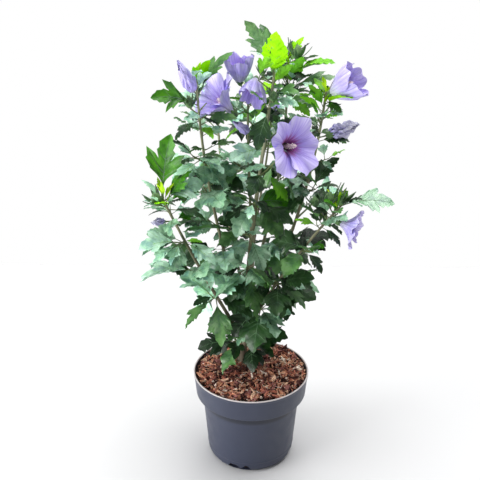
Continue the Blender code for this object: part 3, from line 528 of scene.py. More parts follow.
# Each mass: its limb, how far along it (None for the limb's own leafy tip), shoot
# length, bearing, climb, leaves by rule, twigs, leaf length and seed, all lengths
# in millimetres.
MASSES = {
    "crown_top": ("leader", None, 0, 0, 0, 9, 2, 52, 11),
    "crown_left_in": ("left_in", None, 0, 0, 0, 9, 2, 46, 12),
    "crown_left": ("left_mid", None, 0, 0, 0, 9, 2, 48, 13),
    "crown_right_in": ("right_in", None, 0, 0, 0, 10, 2, 48, 14),
    "crown_right": ("right", None, 0, 0, 0, 9, 2, 46, 15),
    "side_left": ("left_low", None, 0, 0, 0, 5, 1, 48, 61),
    "side_right": ("right_low", None, 0, 0, 0, 6, 1, 57, 17),
    "back_left_top": ("back_left", None, 0, 0, 0, 10, 2, 68, 18),
    "back_right_top": ("back_right", None, 0, 0, 0, 10, 2, 68, 19),
    "leader_front": ("leader", 192, 30, -95, 30, 5, 0, 60, 21),
    "leader_left": ("leader", 141, 26, 200, 25, 5, 0, 64, 22),
    "leader_low": ("leader", 78, 34, -102, 42, 6, 0, 68, 23),
    "leader_back": ("leader", 165, 40, 90, 35, 7, 1, 64, 24),
    "leader_high": ("leader", 265, 34, 75, 35, 7, 1, 57, 25),
    "bloom_front": ("leader", 240, 48, -52, 40, 5, 0, 55, 26),
    "left_in_side": ("left_in", 125, 26, 190, 35, 5, 0, 52, 27),
    "left_high": ("left_mid", 297, 28, 235, 30, 4, 0, 55, 28),
    "left_middle": ("left_mid", 243, 28, 250, 25, 5, 0, 62, 29),
    "left_inner": ("left_mid", 143, 30, 265, 30, 6, 0, 66, 30),
    "left_back": ("left_mid", 235, 45, 125, 30, 7, 1, 64, 31),
    "low_left_tip": ("left_low", 222, 22, 260, 20, 5, 0, 57, 32),
    "low_left_out": ("left_low", 163, 24, 235, 20, 6, 0, 66, 33),
    "low_left_in": ("left_low", 106, 26, 262, 20, 7, 0, 72, 34),
    "low_left_back": ("left_low", 120, 40, 140, 20, 6, 1, 64, 35),
    "low_right_in": ("right_low", 125, 24, 275, 20, 7, 0, 70, 36),
    "low_right_out": ("right_low", 198, 24, 300, 15, 6, 0, 57, 37),
    "right_middle": ("right", 270, 28, 300, 25, 6, 0, 57, 38),
    "right_inner": ("right", 177, 28, 280, 25, 6, 0, 66, 39),
    "right_back": ("right", 225, 45, 35, 30, 7, 1, 64, 40),
    "right_in_front": ("right_in", 238, 30, 260, 30, 5, 0, 57, 41),
    "right_in_low": ("right_in", 140, 34, 30, 20, 5, 0, 62, 42),
    "back_left_low": ("back_left", 120, 40, 175, 10, 6, 1, 66, 43),
    "back_left_in": ("back_left", 190, 40, 80, 20, 7, 1, 64, 44),
    "back_right_low": ("back_right", 110, 40, 100, 10, 7, 1, 66, 45),
    "back_right_out": ("back_right", 180, 40, 0, 15, 6, 1, 64, 46),
    "heart_left": ("left_mid", 88, 30, 245, 15, 8, 0, 74, 51),
    "heart_right": ("right", 108, 30, 300, 15, 8, 0, 70, 52),
    "heart_low": ("right_low", 72, 26, 262, 10, 8, 0, 72, 53),
    "foot_left": ("trunk", 40, 16, 215, 35, 6, 0, 66, 47),
    "foot_right": ("trunk", 34, 16, 320, 35, 5, 0, 66, 48),
}

# The leading leaves of each mass: how far along its stem in hundredths, bearing,
# climb, length in millimetres, roll, and tint.
LEADING = {
    "crown_top": (
        (100, -162, 58, 84, 34, "mid"), (92, 123, 62, 78, -12, "mid"), (84, -84, 72, 70, -9, "lime"),
        (68, -36, 44, 47, -35, "fresh"), (60, 38, -25, 38, 0, "fresh"), (12, -131, -65, 74, -39, "deep"),
        (20, -17, -32, 32, 0, "mid"),
    ),
    "crown_left_in": (
        (76, -154, 15, 45, 0, "fresh"), (84, 21, 22, 34, 0, "mid"), (32, -150, -27, 44, 0, "fresh"),
        (44, -39, -55, 54, 25, "deep"),
    ),
    "crown_left": (
        (68, 3, 50, 80, 14, "mid"), (48, -159, 12, 72, -30, "bright"), (88, -2, 62, 42, -44, "lime"),
        (96, -179, 79, 23, -42, "lime"), (16, -141, -28, 50, 0, "deep"), (24, -39, -15, 44, 0, "deep"),
    ),
    "crown_right_in": (
        (40, -56, 52, 64, -39, "fresh"), (64, -32, 19, 84, 0, "fresh"), (32, -23, 17, 86, 26, "mid"),
        (48, -131, 51, 47, 25, "fresh"), (12, -59, -13, 64, 0, "fresh"), (80, -15, 28, 53, 0, "mid"),
    ),
    "crown_right": (
        (76, -48, 16, 56, 0, "lime"), (56, -151, 36, 52, 0, "fresh"), (68, -158, 54, 45, 43, "fresh"),
        (32, -137, 22, 51, 0, "mid"), (84, -55, -20, 38, 0, "deep"), (24, -117, -16, 38, 0, "deep"),
    ),
    "side_left": (
        (96, 43, 78, 94, 53, "bright"), (80, 15, 50, 64, 36, "bright"), (72, -103, 24, 41, 0, "lime"),
        (64, -16, -12, 63, 0, "deep"), (88, 30, 16, 68, 26, "pale"), (56, -134, 6, 40, 0, "deep"),
    ),
    "side_right": (
        (100, 0, 2, 78, 0, "blue"), (52, -58, 13, 43, 0, "pale"), (36, 7, -35, 34, 0, "deep"),
        (80, -41, 62, 40, 0, "fresh"), (28, -154, 43, 54, 0, "mid"),
    ),
    "leader_front": (
        (100, -123, -61, 27, 0, "pale"), (32, -16, -23, 66, 0, "deep"), (92, -178, 17, 33, 0, "mid"),
    ),
    "leader_left": ((60, -163, 7, 94, 0, "mid"),),
    "leader_low": (
        (100, -37, -29, 63, 0, "mid"), (12, -72, -51, 85, 0, "mid"), (20, -130, -45, 60, 0, "deep"),
    ),
    "bloom_front": (
        (100, -12, -68, 65, 0, "deep"), (92, 20, -33, 81, 0, "mid"), (76, -128, -64, 35, 0, "mid"),
    ),
    "left_in_side": ((48, -161, 41, 49, 0, "pale"), (28, -157, -40, 44, 0, "mid")),
    "left_high": (
        (100, -161, 34, 46, 0, "deep"), (92, -138, -21, 39, 0, "deep"), (84, -20, 3, 45, 0, "mid"),
        (76, -22, -24, 50, 0, "pale"),
    ),
    "left_middle": ((76, -149, -21, 40, 0, "pale"), (68, -15, -20, 46, 0, "mid")),
    "left_inner": ((100, -158, -7, 47, 0, "mid"), (92, -20, -8, 29, 0, "pale")),
    "low_left_tip": (
        (100, -154, -35, 60, 0, "pale"), (88, -121, -44, 39, 0, "pale"), (64, -15, 6, 33, 0, "fresh"),
    ),
    "low_left_out": ((32, -152, 0, 95, 0, "pale"), (12, -44, 56, 59, -24, "mid")),
    "low_left_in": (
        (12, -80, -40, 85, 0, "mid"), (20, -138, -30, 73, 0, "mid"), (28, -144, -4, 42, 0, "deep"),
    ),
    "foot_left": ((64, -93, -2, 57, 0, "deep"), (76, -141, 53, 80, 0, "deep")),
    "foot_right": (
        (64, -60, 9, 72, 0, "deep"), (72, -67, 39, 85, 0, "deep"), (88, -33, 46, 89, 0, "deep"),
    ),
    "low_right_in": (
        (12, -51, -17, 69, 0, "mid"), (20, -5, -9, 45, 0, "pale"), (28, -82, -42, 59, 0, "deep"),
    ),
    "low_right_out": ((12, -32, -44, 44, 0, "deep"), (20, -49, 24, 44, 0, "bright")),
    "right_middle": (
        (24, -132, -22, 52, 0, "deep"), (52, -19, 14, 45, 0, "deep"), (60, 11, 50, 65, 27, "deep"),
    ),
    "right_inner": ((96, 11, 44, 40, 0, "deep"), (52, -142, 26, 47, 0, "deep")),
    "right_in_front": ((28, -50, 29, 48, 0, "pale"), (84, -163, 44, 36, 0, "mid")),
}

# Its flowers and buds: how far along its stem in hundredths, the stalk's bearing,
# climb and length, the flower's bearing and climb, its length, kind and spread.
BLOOMS = {
    "crown_left": (
        (70, (-153, 49, 9), (-138, 55), 53, "furled", 0), (30, (-165, 35, 16), (180, 85), 18, "bud", 0),
    ),
    "crown_left_in": (
        (65, (-130, -10, 28), (-158, 42), 58, "open", 58),
        (95, (-150, 50, 22), (-110, 80), 47, "open", 34),
        (100, (-60, 48, 34), (-108, -50), 43, "open", 40),
        (10, (-88, 24, 23), (-143, 35), 34, "furled", 0),
    ),
    "bloom_front": ((90, (50, 70, 22), (-54, 12), 56, "open", 66),),
    "crown_right": (
        (85, (-40, 53, 10), (-21, 30), 60, "open", 38), (10, (-35, 21, 15), (-5, 16), 51, "furled", 0),
    ),
    "side_right": (
        (45, (-2, -4, 13), (-22, -12), 42, "open", 55), (50, (-165, 46, 30), (180, 82), 17, "bud", 0),
        (70, (-179, 62, 16), (0, 88), 21, "bud", 0), (85, (69, 76, 7), (0, 57), 24, "bud", 0),
    ),
    "side_left": (
        (30, (-151, 3, 13), (-159, 10), 24, "furled", 0), (70, (-176, 22, 11), (-131, 59), 24, "bud", 0),
    ),
    "crown_top": (
        (75, (-155, 34, 20), (180, 81), 12, "bud", 0), (20, (-72, 26, 18), (180, 89), 16, "bud", 0),
    ),
    "crown_right_in": (
        (15, (-82, 13, 30), (180, 88), 20, "bud", 0), (100, (-46, 16, 20), (0, 87), 22, "bud", 0),
    ),
    "back_left_top": (
        (60, (115, 30, 16), (110, 40), 52, "open", 60), (100, (60, 60, 10), (40, 70), 20, "bud", 0),
    ),
    "back_right_top": (
        (100, (75, 60, 12), (70, 60), 48, "furled", 0), (50, (20, 30, 14), (20, 60), 20, "bud", 0),
    ),
}

MASSES = {
    name: (limb, start and start / 1000, length / 1000, *growth, size / 1000, seed)
    for name, (limb, start, length, *growth, size, seed) in MASSES.items()
}
LEADING = {
    name: [(share / 100, *aim, length / 1000, roll, tint) for share, *aim, length, roll, tint in rows]
    for name, rows in LEADING.items()
}
BLOOMS = {
    name: [(share / 100, (*way, reach / 1000), heading, size / 1000, *rest)
           for share, (*way, reach), heading, size, *rest in rows]
    for name, rows in BLOOMS.items()
}


def corners_of(name):
    """Every corner of a CAD node once: the leaves fused into a mass end on them."""
    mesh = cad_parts[name].data
    points = np.empty(len(mesh.vertices) * 3, np.float32)
    mesh.vertices.foreach_get("co", points)
    return np.unique(np.round(points.reshape(-1, 3).astype(float), 6), axis=0)


def gap_to(corners, point):
    return np.linalg.norm(corners - point, axis=1).min()


def tip_of(root, bearing, climb, length):
    """Where a leaf's tip comes: its midrib droops evenly, the more the nearer to level it grows."""
    droop = LEAF_DROOP * (0.3 + 0.7 * np.cos(np.radians(climb)))
    return line_of(root, length * 1.01, (bearing, bearing), (climb + droop / 2, climb - droop / 2), 20)[-1]


def grown_leaf(corners, root, bearing, climb, length):
    """The size at which this leaf had room in its mass, or None where it had none."""
    for size in SMALLER:
        if gap_to(corners, tip_of(root, bearing, climb, length * size)) < AT_TIP:
            return length * size
    return None


def stem_of(name, corners):
    """A mass's own stem: the leafy end of its limb, or a side shoot that starts at the limb's skin."""
    limb, start, length, bearing, climb = MASSES[name][:5]
    if start is None:
        return at(limb_lines[limb], np.linspace(LIMBS[limb][2] + 0.0003, LIMBS[limb][3], 9))
    apart = np.linalg.norm(corners - at(limb_lines[limb], start), axis=1)
    foot = corners[np.argsort(apart)[:5]].mean(axis=0)
    return line_of(foot, length, (bearing, bearing), (climb, climb), 8)


def flower_stand(stem, share, stalk_way, heading):
    """Where a flower's stalk springs from its stem, where the flower sits on it, and the way it faces."""
    root = at(stem, share * length_of(stem) * TOP_SEAT)
    return root, root + ways(*stalk_way[:2]) * stalk_way[2], ways(*heading)


leaves = []  # mass, root, bearing, climb, length, roll, tint
twig_lines, twig_radii = [], []
stems = {}
for name, (limb, start, _, _, _, count, twigs, size, seed) in MASSES.items():
    corners = corners_of(name)
    stem = stems[name] = stem_of(name, corners)
    reach = length_of(stem)
    low, high = TIP_CLIMBS if start is None else SHOOT_CLIMBS
    if start is not None:
        whole = np.vstack([at(limb_lines[limb], start), stem])
        twig_lines.append(at(whole, np.linspace(0, reach * 1.01 + 0.003, 5)))
        twig_radii.append(SHOOT_RADII)
    for share, bearing, climb, length, roll, tint in LEADING.get(name, ()):
        root = at(stem, share * reach * TOP_SEAT)
        length = grown_leaf(corners, root, bearing, climb, length)
        if length:
            leaves.append((name, root, bearing, climb, length, roll, tint))
    # The source's own rule: the same turns and the same draws, kept where the mass has that leaf.
    chance = np.random.default_rng(seed)
    turned_from = chance.uniform(0, 360)
    used = np.array([row[0] for row in LEADING.get(name, ())])
    places = [share for share in np.linspace(1, 0.1, count + len(used)) if (abs(share - used) > 0.05).all()]
    spots = [(stem, reach, share) for share in places[: count - 2 * twigs]]
    for k in range(twigs):
        root = at(stem, reach * (0.25 + 0.4 * (k + 0.5) / twigs))
        twig = line_of(root, size * 0.5, (turned_from + 150 * k,) * 2, (38, 38), 4)
        if gap_to(corners, twig[4]) > AT_TWIG_END:
            continue
        twig_lines.append(twig)
        twig_radii.append(TWIG_RADII)
        spots += [(twig, size * 0.5, 1.0), (twig, size * 0.5, 0.7)]
    for k, (carrier, extent, share) in enumerate(spots):
        root = at(carrier, extent * share * TOP_SEAT)
        for attempt in range(TRIES):
            bearing = turned_from + TURN * (k + attempt * 0.7)
            climb = low + (high - low) * share + chance.uniform(-14, 14)
            length = size * chance.uniform(0.78, 1.15)
            roll = LIGHT_ROLL * np.cos(np.radians(bearing)) + chance.uniform(-20, 20)
            length = grown_leaf(corners, root, bearing, climb, length)
            if length:
                leaves.append((name, root, bearing, climb, length, roll, None))
                break

# Finer growth than the solids hold: on the shoots of the crown, the sides and the back, and on the boughs
# that are leafy below their tips, short spurs with three smaller leaves each; single leaves between the
# larger ones; and a sprig of new leaves at the crown's tips.
SPURS = {"crown_right_in": 6, "crown_right": 4, "crown": 3, "side": 2, "back": 1}
LIMB_SPURS = {"left_mid": (0.250, 0.350, 7), "left_in": (0.090, 0.170, 2), "right": (0.290, 0.350, 3)}
LIMB_SPUR_LEAF = 0.055
SPRIGS = ("crown_left", "crown_right", "side")
# Leaves in their places between those: the share of the stem they spring from,
# bearing, climb, length and tint.
FILLS = {
    "low_left_tip": ((1.00, -172, -8, 0.064, "pale"), (0.60, 168, 8, 0.058, "blue")),
    "crown_left": (
        (0.06, -12, 12, 0.058, "mid"), (0.20, 22, 2, 0.050, "deep"), (0.02, -62, -12, 0.046, "fresh"),
    ),
    "crown_right": ((0.02, -22, 5, 0.050, "deep"), (0.12, 8, -14, 0.046, "mid")),
    "crown_right_in": ((0.25, -32, 8, 0.044, "mid"), (0.05, -10, 20, 0.040, "fresh")),
}
# Gaps where the sky shows through: a place between the boughs, and how far it reaches.
SKY_GAPS = (
    (-0.112, -0.007, 0.310, 0.014),
    (-0.085, -0.044, 0.309, 0.016),
    (0.105, -0.085, 0.395, 0.014),
    (0.140, 0.035, 0.476, 0.016),
    (0.098, 0.026, 0.477, 0.014),
    (0.109, -0.030, 0.501, 0.013),
    (0.153, -0.045, 0.499, 0.013),
    (0.082, 0.048, 0.427, 0.016),
)
chance = np.random.default_rng(907)


def facing(bearing):
    """How a leaf at this bearing rolls to the light, give or take."""
    return LIGHT_ROLL * np.cos(np.radians(bearing)) + chance.uniform(-20, 20)


def spur(name, root, bearing, size):
    """A short twig from a stem, with one leaf at its end and one on each side of it."""
    climb, extent = chance.uniform(5, 50), size * chance.uniform(0.28, 0.5)
    twig = line_of(root, extent, (bearing, bearing + chance.uniform(-25, 25)), (climb, climb + 12), 4)
    twig_lines.append(twig)
    twig_radii.append(SPUR_RADII)
    for share, aside in ((1.0, chance.uniform(-25, 25)), (0.75, 75), (0.45, -80)):
        aim = (bearing + aside, climb * 0.5 - 30 + 45 * share + chance.uniform(-12, 12))
        length = size * chance.uniform(0.5, 0.9)
        leaves.append((name, at(twig, extent * share * TOP_SEAT), *aim, length, facing(aim[0]), None))


for name, stem in stems.items():
    size = MASSES[name][7]
    reach = length_of(stem)
    turned_from = chance.uniform(0, 360)
    spurs = SPURS.get(name, SPURS.get(name.split("_")[0], 0))
    for k in range(spurs):
        spur(name, at(stem, reach * (k + chance.uniform(0.2, 0.8)) / spurs), turned_from + TURN * k, size)
    share, aim = chance.uniform(0.05, 0.95), turned_from + 60
    single = (aim, -40 + 80 * share + chance.uniform(-15, 15), size * chance.uniform(0.5, 0.85))
    leaves.append((name, at(stem, reach * share), *single, facing(aim), None))
    for k in range(5 * name.startswith(SPRIGS)):
        aim = (turned_from + TURN * k, chance.uniform(42, 80), size * chance.uniform(0.42, 0.66))
        root = at(stem, reach * (0.97 - 0.06 * k))
        leaves.append((name, root, *aim, chance.uniform(-40, 40), "sprig"))
for name, (first, last, spurs) in LIMB_SPURS.items():
    turned_from = chance.uniform(0, 360)
    for k, distance in enumerate(np.linspace(first, last, spurs)):
        spur("crown", at(limb_lines[name], distance), turned_from + TURN * k, LIMB_SPUR_LEAF)
for name, fills in FILLS.items():
    for share, bearing, climb, length, tint in fills:
        root = at(stems[name], length_of(stems[name]) * share)
        leaves.append((name, root, bearing, climb, length, facing(bearing), tint))

# Leaves with no tint set keep clear of the open and furled flowers and of the gaps.
clear = [(gap[:3], gap[3]) for gap in SKY_GAPS]
for name, flowers in BLOOMS.items():
    for share, stalk_way, heading, size, kind, _ in flowers:
        if kind != "bud":
            _, base, way = flower_stand(stems[name], share, stalk_way, heading)
            clear.append((base + way * size * 0.55, size * (0.62 if kind == "open" else 0.4)))
clear_at, clear_reach = (np.array(group) for group in zip(*clear))
middles = np.array([tip_of(*row[1:4], row[4] * 0.65) for row in leaves])
tips = np.array([tip_of(*row[1:5]) for row in leaves])
apart = np.minimum(*(np.linalg.norm(spots[:, None] - clear_at, axis=2) for spots in (middles, tips)))
hit = (apart < clear_reach).any(axis=1)
leaves = [row for row, among in zip(leaves, hit) if row[6] is not None or not among]


def green_shoot():
    """Smooth young stem: green with a brown flush in patches, faintly ribbed."""
    made = Finish("green_shoot", (0.11, 0.15, 0.055), 0.55)
    brown, fresh = (0.35, (0.085, 0.10, 0.04)), (0.7, (0.17, 0.24, 0.075))
    return made.grained(made.grain(90, (1, 1, 0.4), 3), brown, fresh, depth=0.0003, strength=0.4)


green = green_shoot()
made = piece("shoots_and_twigs", *rods(twig_lines, twig_radii, 7), green)
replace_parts(made, *MASSES)


# ==== the leaves ====
# Hibiscus leaves: a slim stalk and a thin blade with three pointed lobes and coarse teeth, quilted between
# its veins, rippled along its edges and drooping to its tip. Old leaves are deep green, some bluish green,
# partly their own colour and partly a painted sheen of light, some pale as a painted sheen, and some darker
# as painted shade; new ones are fresh or lime, the lime partly painted light shining through them from
# behind.
STALK = 0.2  # share of a leaf's length that is stalk
# Down one half of a blade: where a vein leaves the midrib; where it ends, along
# and out, on a deeply lobed leaf and on a plain one; and whether the blade sinks
# to a vein there (-1) or swells between two (1).
BLADE = (
    (0.00, (0.00, 0.010), (0.00, 0.010), 0),
    (0.02, (0.08, 0.055), (0.05, 0.110), 1),
    (0.05, (0.20, 0.150), (0.13, 0.215), 0),
    (0.09, (0.31, 0.285), (0.24, 0.315), -1),
    (0.12, (0.34, 0.272), (0.28, 0.290), 1),
    (0.16, (0.46, 0.390), (0.38, 0.360), -1),
    (0.20, (0.50, 0.352), (0.43, 0.322), 1),
    (0.25, (0.64, 0.415), (0.53, 0.350), -1),
    (0.30, (0.63, 0.322), (0.57, 0.300), 1),
    (0.36, (0.61, 0.235), (0.65, 0.295), 0),
    (0.42, (0.54, 0.155), (0.67, 0.235), 1),
    (0.50, (0.69, 0.215), (0.76, 0.230), -1),
    (0.57, (0.73, 0.165), (0.78, 0.180), 1),
    (0.68, (0.83, 0.172), (0.87, 0.150), -1),
    (0.78, (0.88, 0.108), (0.90, 0.100), 1),
    (0.88, (0.94, 0.075), (0.95, 0.065), -1),
    (1.00, (1.00, 0.004), (1.00, 0.004), 0),
)
ACROSS = np.array([-1.0, -0.5, 0.0, 0.5, 1.0])
VEIN_ROWS = (5, 7, 11)
VEIN_WIDTH = 0.0062
VEIN_STEPS = 5
QUILT = 0.026

# Each tint: its colour, roughness and gloss, and how lobed and how slim its leading leaves are.
TINTS = {
    "deep": ((0.019, 0.066, 0.013), 0.38, 0.50, 0.7, 0.85),
    # Painted shade: a darker copy of the deep green, for leaves that stand in shade.
    "dusk": ((0.006, 0.024, 0.005), 0.42, 0.40, 0.7, 0.95),
    "mid": ((0.084, 0.215, 0.054), 0.34, 0.60, 1.0, 0.70),
    "blue": ((0.230, 0.440, 0.250), 0.30, 0.80, 0.7, 1.05),
    # Painted light: the bright tint is the green of a leaf lit from behind, with the light shining through
    # it.
    "bright": ((0.042, 0.200, 0.002), 0.45, 0.30, 1.35, 0.95),
    "fresh": ((0.200, 0.580, 0.022), 0.45, 0.35, 0.3, 0.60),
    # The lime tint is a new leaf's lighter green, brightened further as painted light shining through it
    # from behind.
    "lime": ((0.380, 0.930, 0.001), 0.55, 0.15, 0.05, 0.95),
    "pale": ((0.460, 0.780, 0.530), 0.32, 0.80, 0.8, 1.1),
    "sprig": ((0.470, 0.780, 0.010), 0.50, 0.25, 0.5, 0.50),
}
NEW_LEAVES = ("fresh", "lime", "sprig")
# Tints that paint a sheen of light on a leaf.
PAINTED_SHEEN_TINTS = ("blue", "pale")
OLD_TINTS = 5  # the first tints, whose veins are an old leaf's
LEAFY_FROM, LEAFY_SPAN = 0.25, 0.42  # how high the lowest leaves stand, and from there to the crown
# The odds of each tint, in that order, low in the shrub, halfway up and in its crown.
# The painted shade green is likeliest low in the shrub, where most shade falls.
TINT_ODDS = (
    (0.22, 0.24, 0.19, 0.21, 0.00, 0.00, 0.00, 0.14, 0.00),
    (0.13, 0.14, 0.15, 0.25, 0.07, 0.03, 0.00, 0.23, 0.00),
    (0.07, 0.08, 0.11, 0.20, 0.14, 0.16, 0.04, 0.20, 0.00),
)


def sheet_faces(rows, columns):
    """Four-cornered faces of an open grid, facing out where its columns run to the left of its rows."""
    row, column = np.meshgrid(np.arange(rows - 1), np.arange(columns - 1), indexing="ij")
    cell = (row * columns + column).ravel()
    return np.stack([cell, cell + columns, cell + columns + 1, cell + 1], axis=1)


def leaf_greens(roots, tints):
    """The tint of every leaf that has none set: dark and bluish low in the shrub, fresher towards its top;
    the pale and blue tints, a painted sheen of light, come more often on its lit left and seldom near the
    mulch, where shade falls."""
    chance = np.random.default_rng(55)
    order = list(TINTS)
    sheen_tint_numbers = [order.index(tint) for tint in PAINTED_SHEEN_TINTS]
    found = []
    for root, tint in zip(roots, tints):
        if tint is None:
            share = np.clip((root[2] - LEAFY_FROM) / LEAFY_SPAN, 0, 1) + chance.normal(0, 0.09)
            odds = np.array(TINT_ODDS[int(share > 0.45) + int(share > 0.75)])
            left = np.clip(-root[0] / 0.10, 0, 1)
            # Painted sheen: more pale and blue leaves where the light falls on the left, fewer low down in
            # the shade.
            odds[sheen_tint_numbers] *= 1 + 8.0 * left if root[2] > 0.27 else 0.3
            tint = order[chance.choice(len(order), p=odds / odds.sum())]
        found.append(order.index(tint))
    return np.array(found)


def bent(rows, along, across, lift):
    """Flat leaf shapes laid on their leaves. A leaf's midrib starts out above its climb and ends as far
    below it, so a point a share s along it lies at the sines and cosines of an evenly changing slope, summed
    up to s. From there the point goes sideways by its distance from the midrib and up by its lift, both as
    shares of the length, in a plane that rolls and twists with the leaf."""
    b, c, length = rows[:, 3, None], rows[:, 4, None], rows[:, 5, None]
    roll = rows[:, 6, None] + rows[:, 7, None] * (along - STALK)
    droop = LEAF_DROOP * (0.3 + 0.7 * np.cos(c))
    first, change = c + np.radians(droop) / 2, -np.radians(droop)
    slope = first + change * along
    run = 1.01 * length * (np.sin(slope) - np.sin(first)) / change
    rise = -1.01 * length * (np.cos(slope) - np.cos(first)) / change
    level = np.stack([-np.sin(b), np.cos(b), 0 * b], axis=-1)
    up = np.stack([-np.sin(slope) * np.cos(b), -np.sin(slope) * np.sin(b), np.cos(slope)], axis=-1)
    middle = rows[:, None, :3] + np.stack([run * np.cos(b), run * np.sin(b), rise], axis=-1)
    cos, sin = np.cos(roll)[..., None], np.sin(roll)[..., None]
    side, above = cos * level + sin * up, cos * up - sin * level
    return middle + (length * across)[..., None] * side + (length * lift)[..., None] * above


def surface_lift(shape, along, across):
    """How far a blade stands off its midrib's plane: a fold that rises from the midrib, lobes that sag
    again, and two ripples, one slow and one quick, that grow towards the edge."""
    fold, sag, ripple, phase = shape.T[:4, :, None]
    out, hand = np.abs(across), np.sign(across)
    wave = np.sin(2 * np.pi * (2.1 * along + phase + 0.2 * hand))
    wave = wave + 0.6 * np.sin(2 * np.pi * (4.7 * along - 2.3 * phase + 0.3 * hand))
    return fold * out - sag * out**2 + ripple * wave * out * (1 + 0.3 * hand)


def blades(rows, shape, lobed, slim):
    """Every blade as a grid: veins run from the midrib to the teeth and the notches between them, and the
    blade sinks to the veins and swells between them by the sine of the way out."""
    vein, swell = (np.array([row[k] for row in BLADE]) for k in (0, 3))
    ends = np.array([row[1:3] for row in BLADE])
    end = ends[None, :, 1] + lobed[:, None, None] * (ends[None, :, 0] - ends[None, :, 1])
    end[..., 1] *= slim[:, None]
    share = np.abs(ACROSS)
    along = vein[None, :, None] + share * (end[:, :, :1] - vein[None, :, None])
    across = ACROSS * end[:, :, 1:]
    quilt = shape[:, 4, None, None] * swell[None, :, None] * np.sin(np.pi * np.minimum(share, 0.75))
    flat = (len(rows), -1)
    along, across = (STALK + (1 - STALK) * along).reshape(flat), ((1 - STALK) * across).reshape(flat)
    return bent(rows, along, across, surface_lift(shape, along, across) + quilt.reshape(flat)), end


def vein_strips(rows, shape, end):
    """Pale raised ribs: the midrib and the veins to the main teeth, each a strip that narrows to its end."""
    share = np.linspace(0, 0.9, VEIN_STEPS)
    runs = [(0.0, np.broadcast_to([0.97, 0.0], (len(rows), 2)), 1.7 * VEIN_WIDTH, 0.0)]
    for row in VEIN_ROWS:
        runs += [(BLADE[row][0], end[:, row] * (1, hand), VEIN_WIDTH, 1.0) for hand in (-1, 1)]
    points = []
    for start, tip, width, sunk in runs:
        foot = np.broadcast_to([start, 0.0], (len(rows), 2))
        way = tip - foot
        across = np.stack([-way[:, 1], way[:, 0]], axis=1) / np.linalg.norm(way, axis=1)[:, None]
        middle = foot[:, None] + share[:, None] * way[:, None]
        half = (width * (1.05 - share))[:, None] * across[:, None]
        strip = np.stack([middle - half, middle + half], axis=2).reshape(len(rows), -1, 2)
        along, off = STALK + (1 - STALK) * strip[..., 0], (1 - STALK) * strip[..., 1]
        dip = sunk * shape[:, 4, None] * np.repeat(np.sin(np.pi * share), 2)
        points.append(bent(rows, along, off, surface_lift(shape, along, off) - dip + 0.0045))
    return np.stack(points, axis=1)


def leaf_green(name, colour, roughness, gloss):
    """A leaf's skin: one tint, mottled darker and bluer and paler, partly a real mottle and partly painted
    shade and painted highlight, less so on new leaves, with a soft gloss broken by a pebbled grain."""
    made = Finish("leaf_" + name, colour, roughness, Specular_IOR_Level=gloss)
    # Painted shade and painted highlight: the darker blotches stand in for shade, the paler ones for
    # highlights.
    shade, shine = (0.50, 0.60, 0.72), (1.50, 1.28, 1.50)
    if name in NEW_LEAVES:
        shade, shine = (0.78, 0.82, 0.80), (1.20, 1.08, 1.20)
    dark = tuple(share * value for share, value in zip(shade, colour))
    light = tuple(min(1, share * value) for share, value in zip(shine, colour))
    made.grained(made.grain(75, detail=3), (0.34, dark), (0.52, colour), (0.68, light))
    pebbles = made.grain(420, detail=3)
    made.set("Roughness", made.between(pebbles, 0.3, 0.7, roughness - 0.08, roughness + 0.12))
    return made.relief(pebbles, 0.0007, 0.45).look


roots = np.array([row[1] for row in leaves])
aims = np.radians([row[2:4] for row in leaves])
rest = np.array([(row[4], np.radians(row[5])) for row in leaves])
tints = leaf_greens(roots, [row[6] for row in leaves])
chance = np.random.default_rng(77)
many = len(leaves)
rows = np.hstack([roots, aims, rest, np.radians(chance.uniform(-55, 55, (many, 1)))])
# Each leaf's fold, sag, ripple, the ripple's phase, and quilting.
lows = np.array((0.05, 0.10, 0.06, 0.0, 0.4 * QUILT))
highs = np.array((0.50, 1.30, 0.34, 1.0, QUILT))
shape = chance.uniform(lows, highs, (many, 5))
# A leading leaf is lobed and slim as its tint says, and flatter than the others, which are lobed as they
# come, and slimmer in the crown.
crown = np.array([row[0].startswith(("crown", "side")) for row in leaves])
lobed = chance.beta(1.6, 1.3, many) * 1.1
slim = np.where(crown, chance.uniform(0.50, 0.95, many), chance.uniform(0.85, 1.30, many))
set_ones = np.array([row[6] is not None for row in leaves])
kinds = np.array([tint[3:] for tint in TINTS.values()])
lobed[set_ones], slim[set_ones] = kinds[tints[set_ones]].T
shape[set_ones, 1:3] *= 0.5

grid, ends = blades(rows, shape, lobed, slim)
ribs = vein_strips(rows, shape, ends)
for number, (name, (*skin, _, _)) in enumerate(TINTS.items()):
    chosen = grid[tints == number]
    faces = repeated(sheet_faces(len(BLADE), len(ACROSS)), len(chosen), chosen.shape[1])
    made = piece("leaves_" + name, chosen.reshape(-1, 3), [faces], leaf_green(name, *skin))
    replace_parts(made, *MASSES)

# The stalks run from the stem to a little way under the blade, and carry on as the midrib.
STALK_TAPER = np.array([1.25, 1.0, 0.9, 0.6])
share = np.linspace(0, STALK * 1.15, len(STALK_TAPER))[None] + np.zeros((many, 1))
stalks = bent(rows, share, 0 * share, 0 * share - 0.004)
width = np.clip(0.0125 * rows[:, 5:6], 0.00045, 0.0010) * STALK_TAPER
made = piece("leaf_stalks", *rods(stalks, width, 4), green)
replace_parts(made, *MASSES)

# Veins stand a hair above the blade, paler than it.
strip_faces = np.arange(VEIN_STEPS - 1)[:, None] * 2 + np.array([0, 2, 3, 1])
for age, colour in (("old", (0.10, 0.20, 0.09)), ("new", (0.25, 0.52, 0.12))):
    strips = ribs[(tints < OLD_TINTS) == (age == "old")].reshape(-1, 2 * VEIN_STEPS, 3)
    faces = repeated(strip_faces, len(strips), 2 * VEIN_STEPS)
    name = "veins_of_" + age + "_leaves"
    made = piece(name, strips.reshape(-1, 3), [faces], leaf_green(name, colour, 0.5, 0.4))
    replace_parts(made, *MASSES)


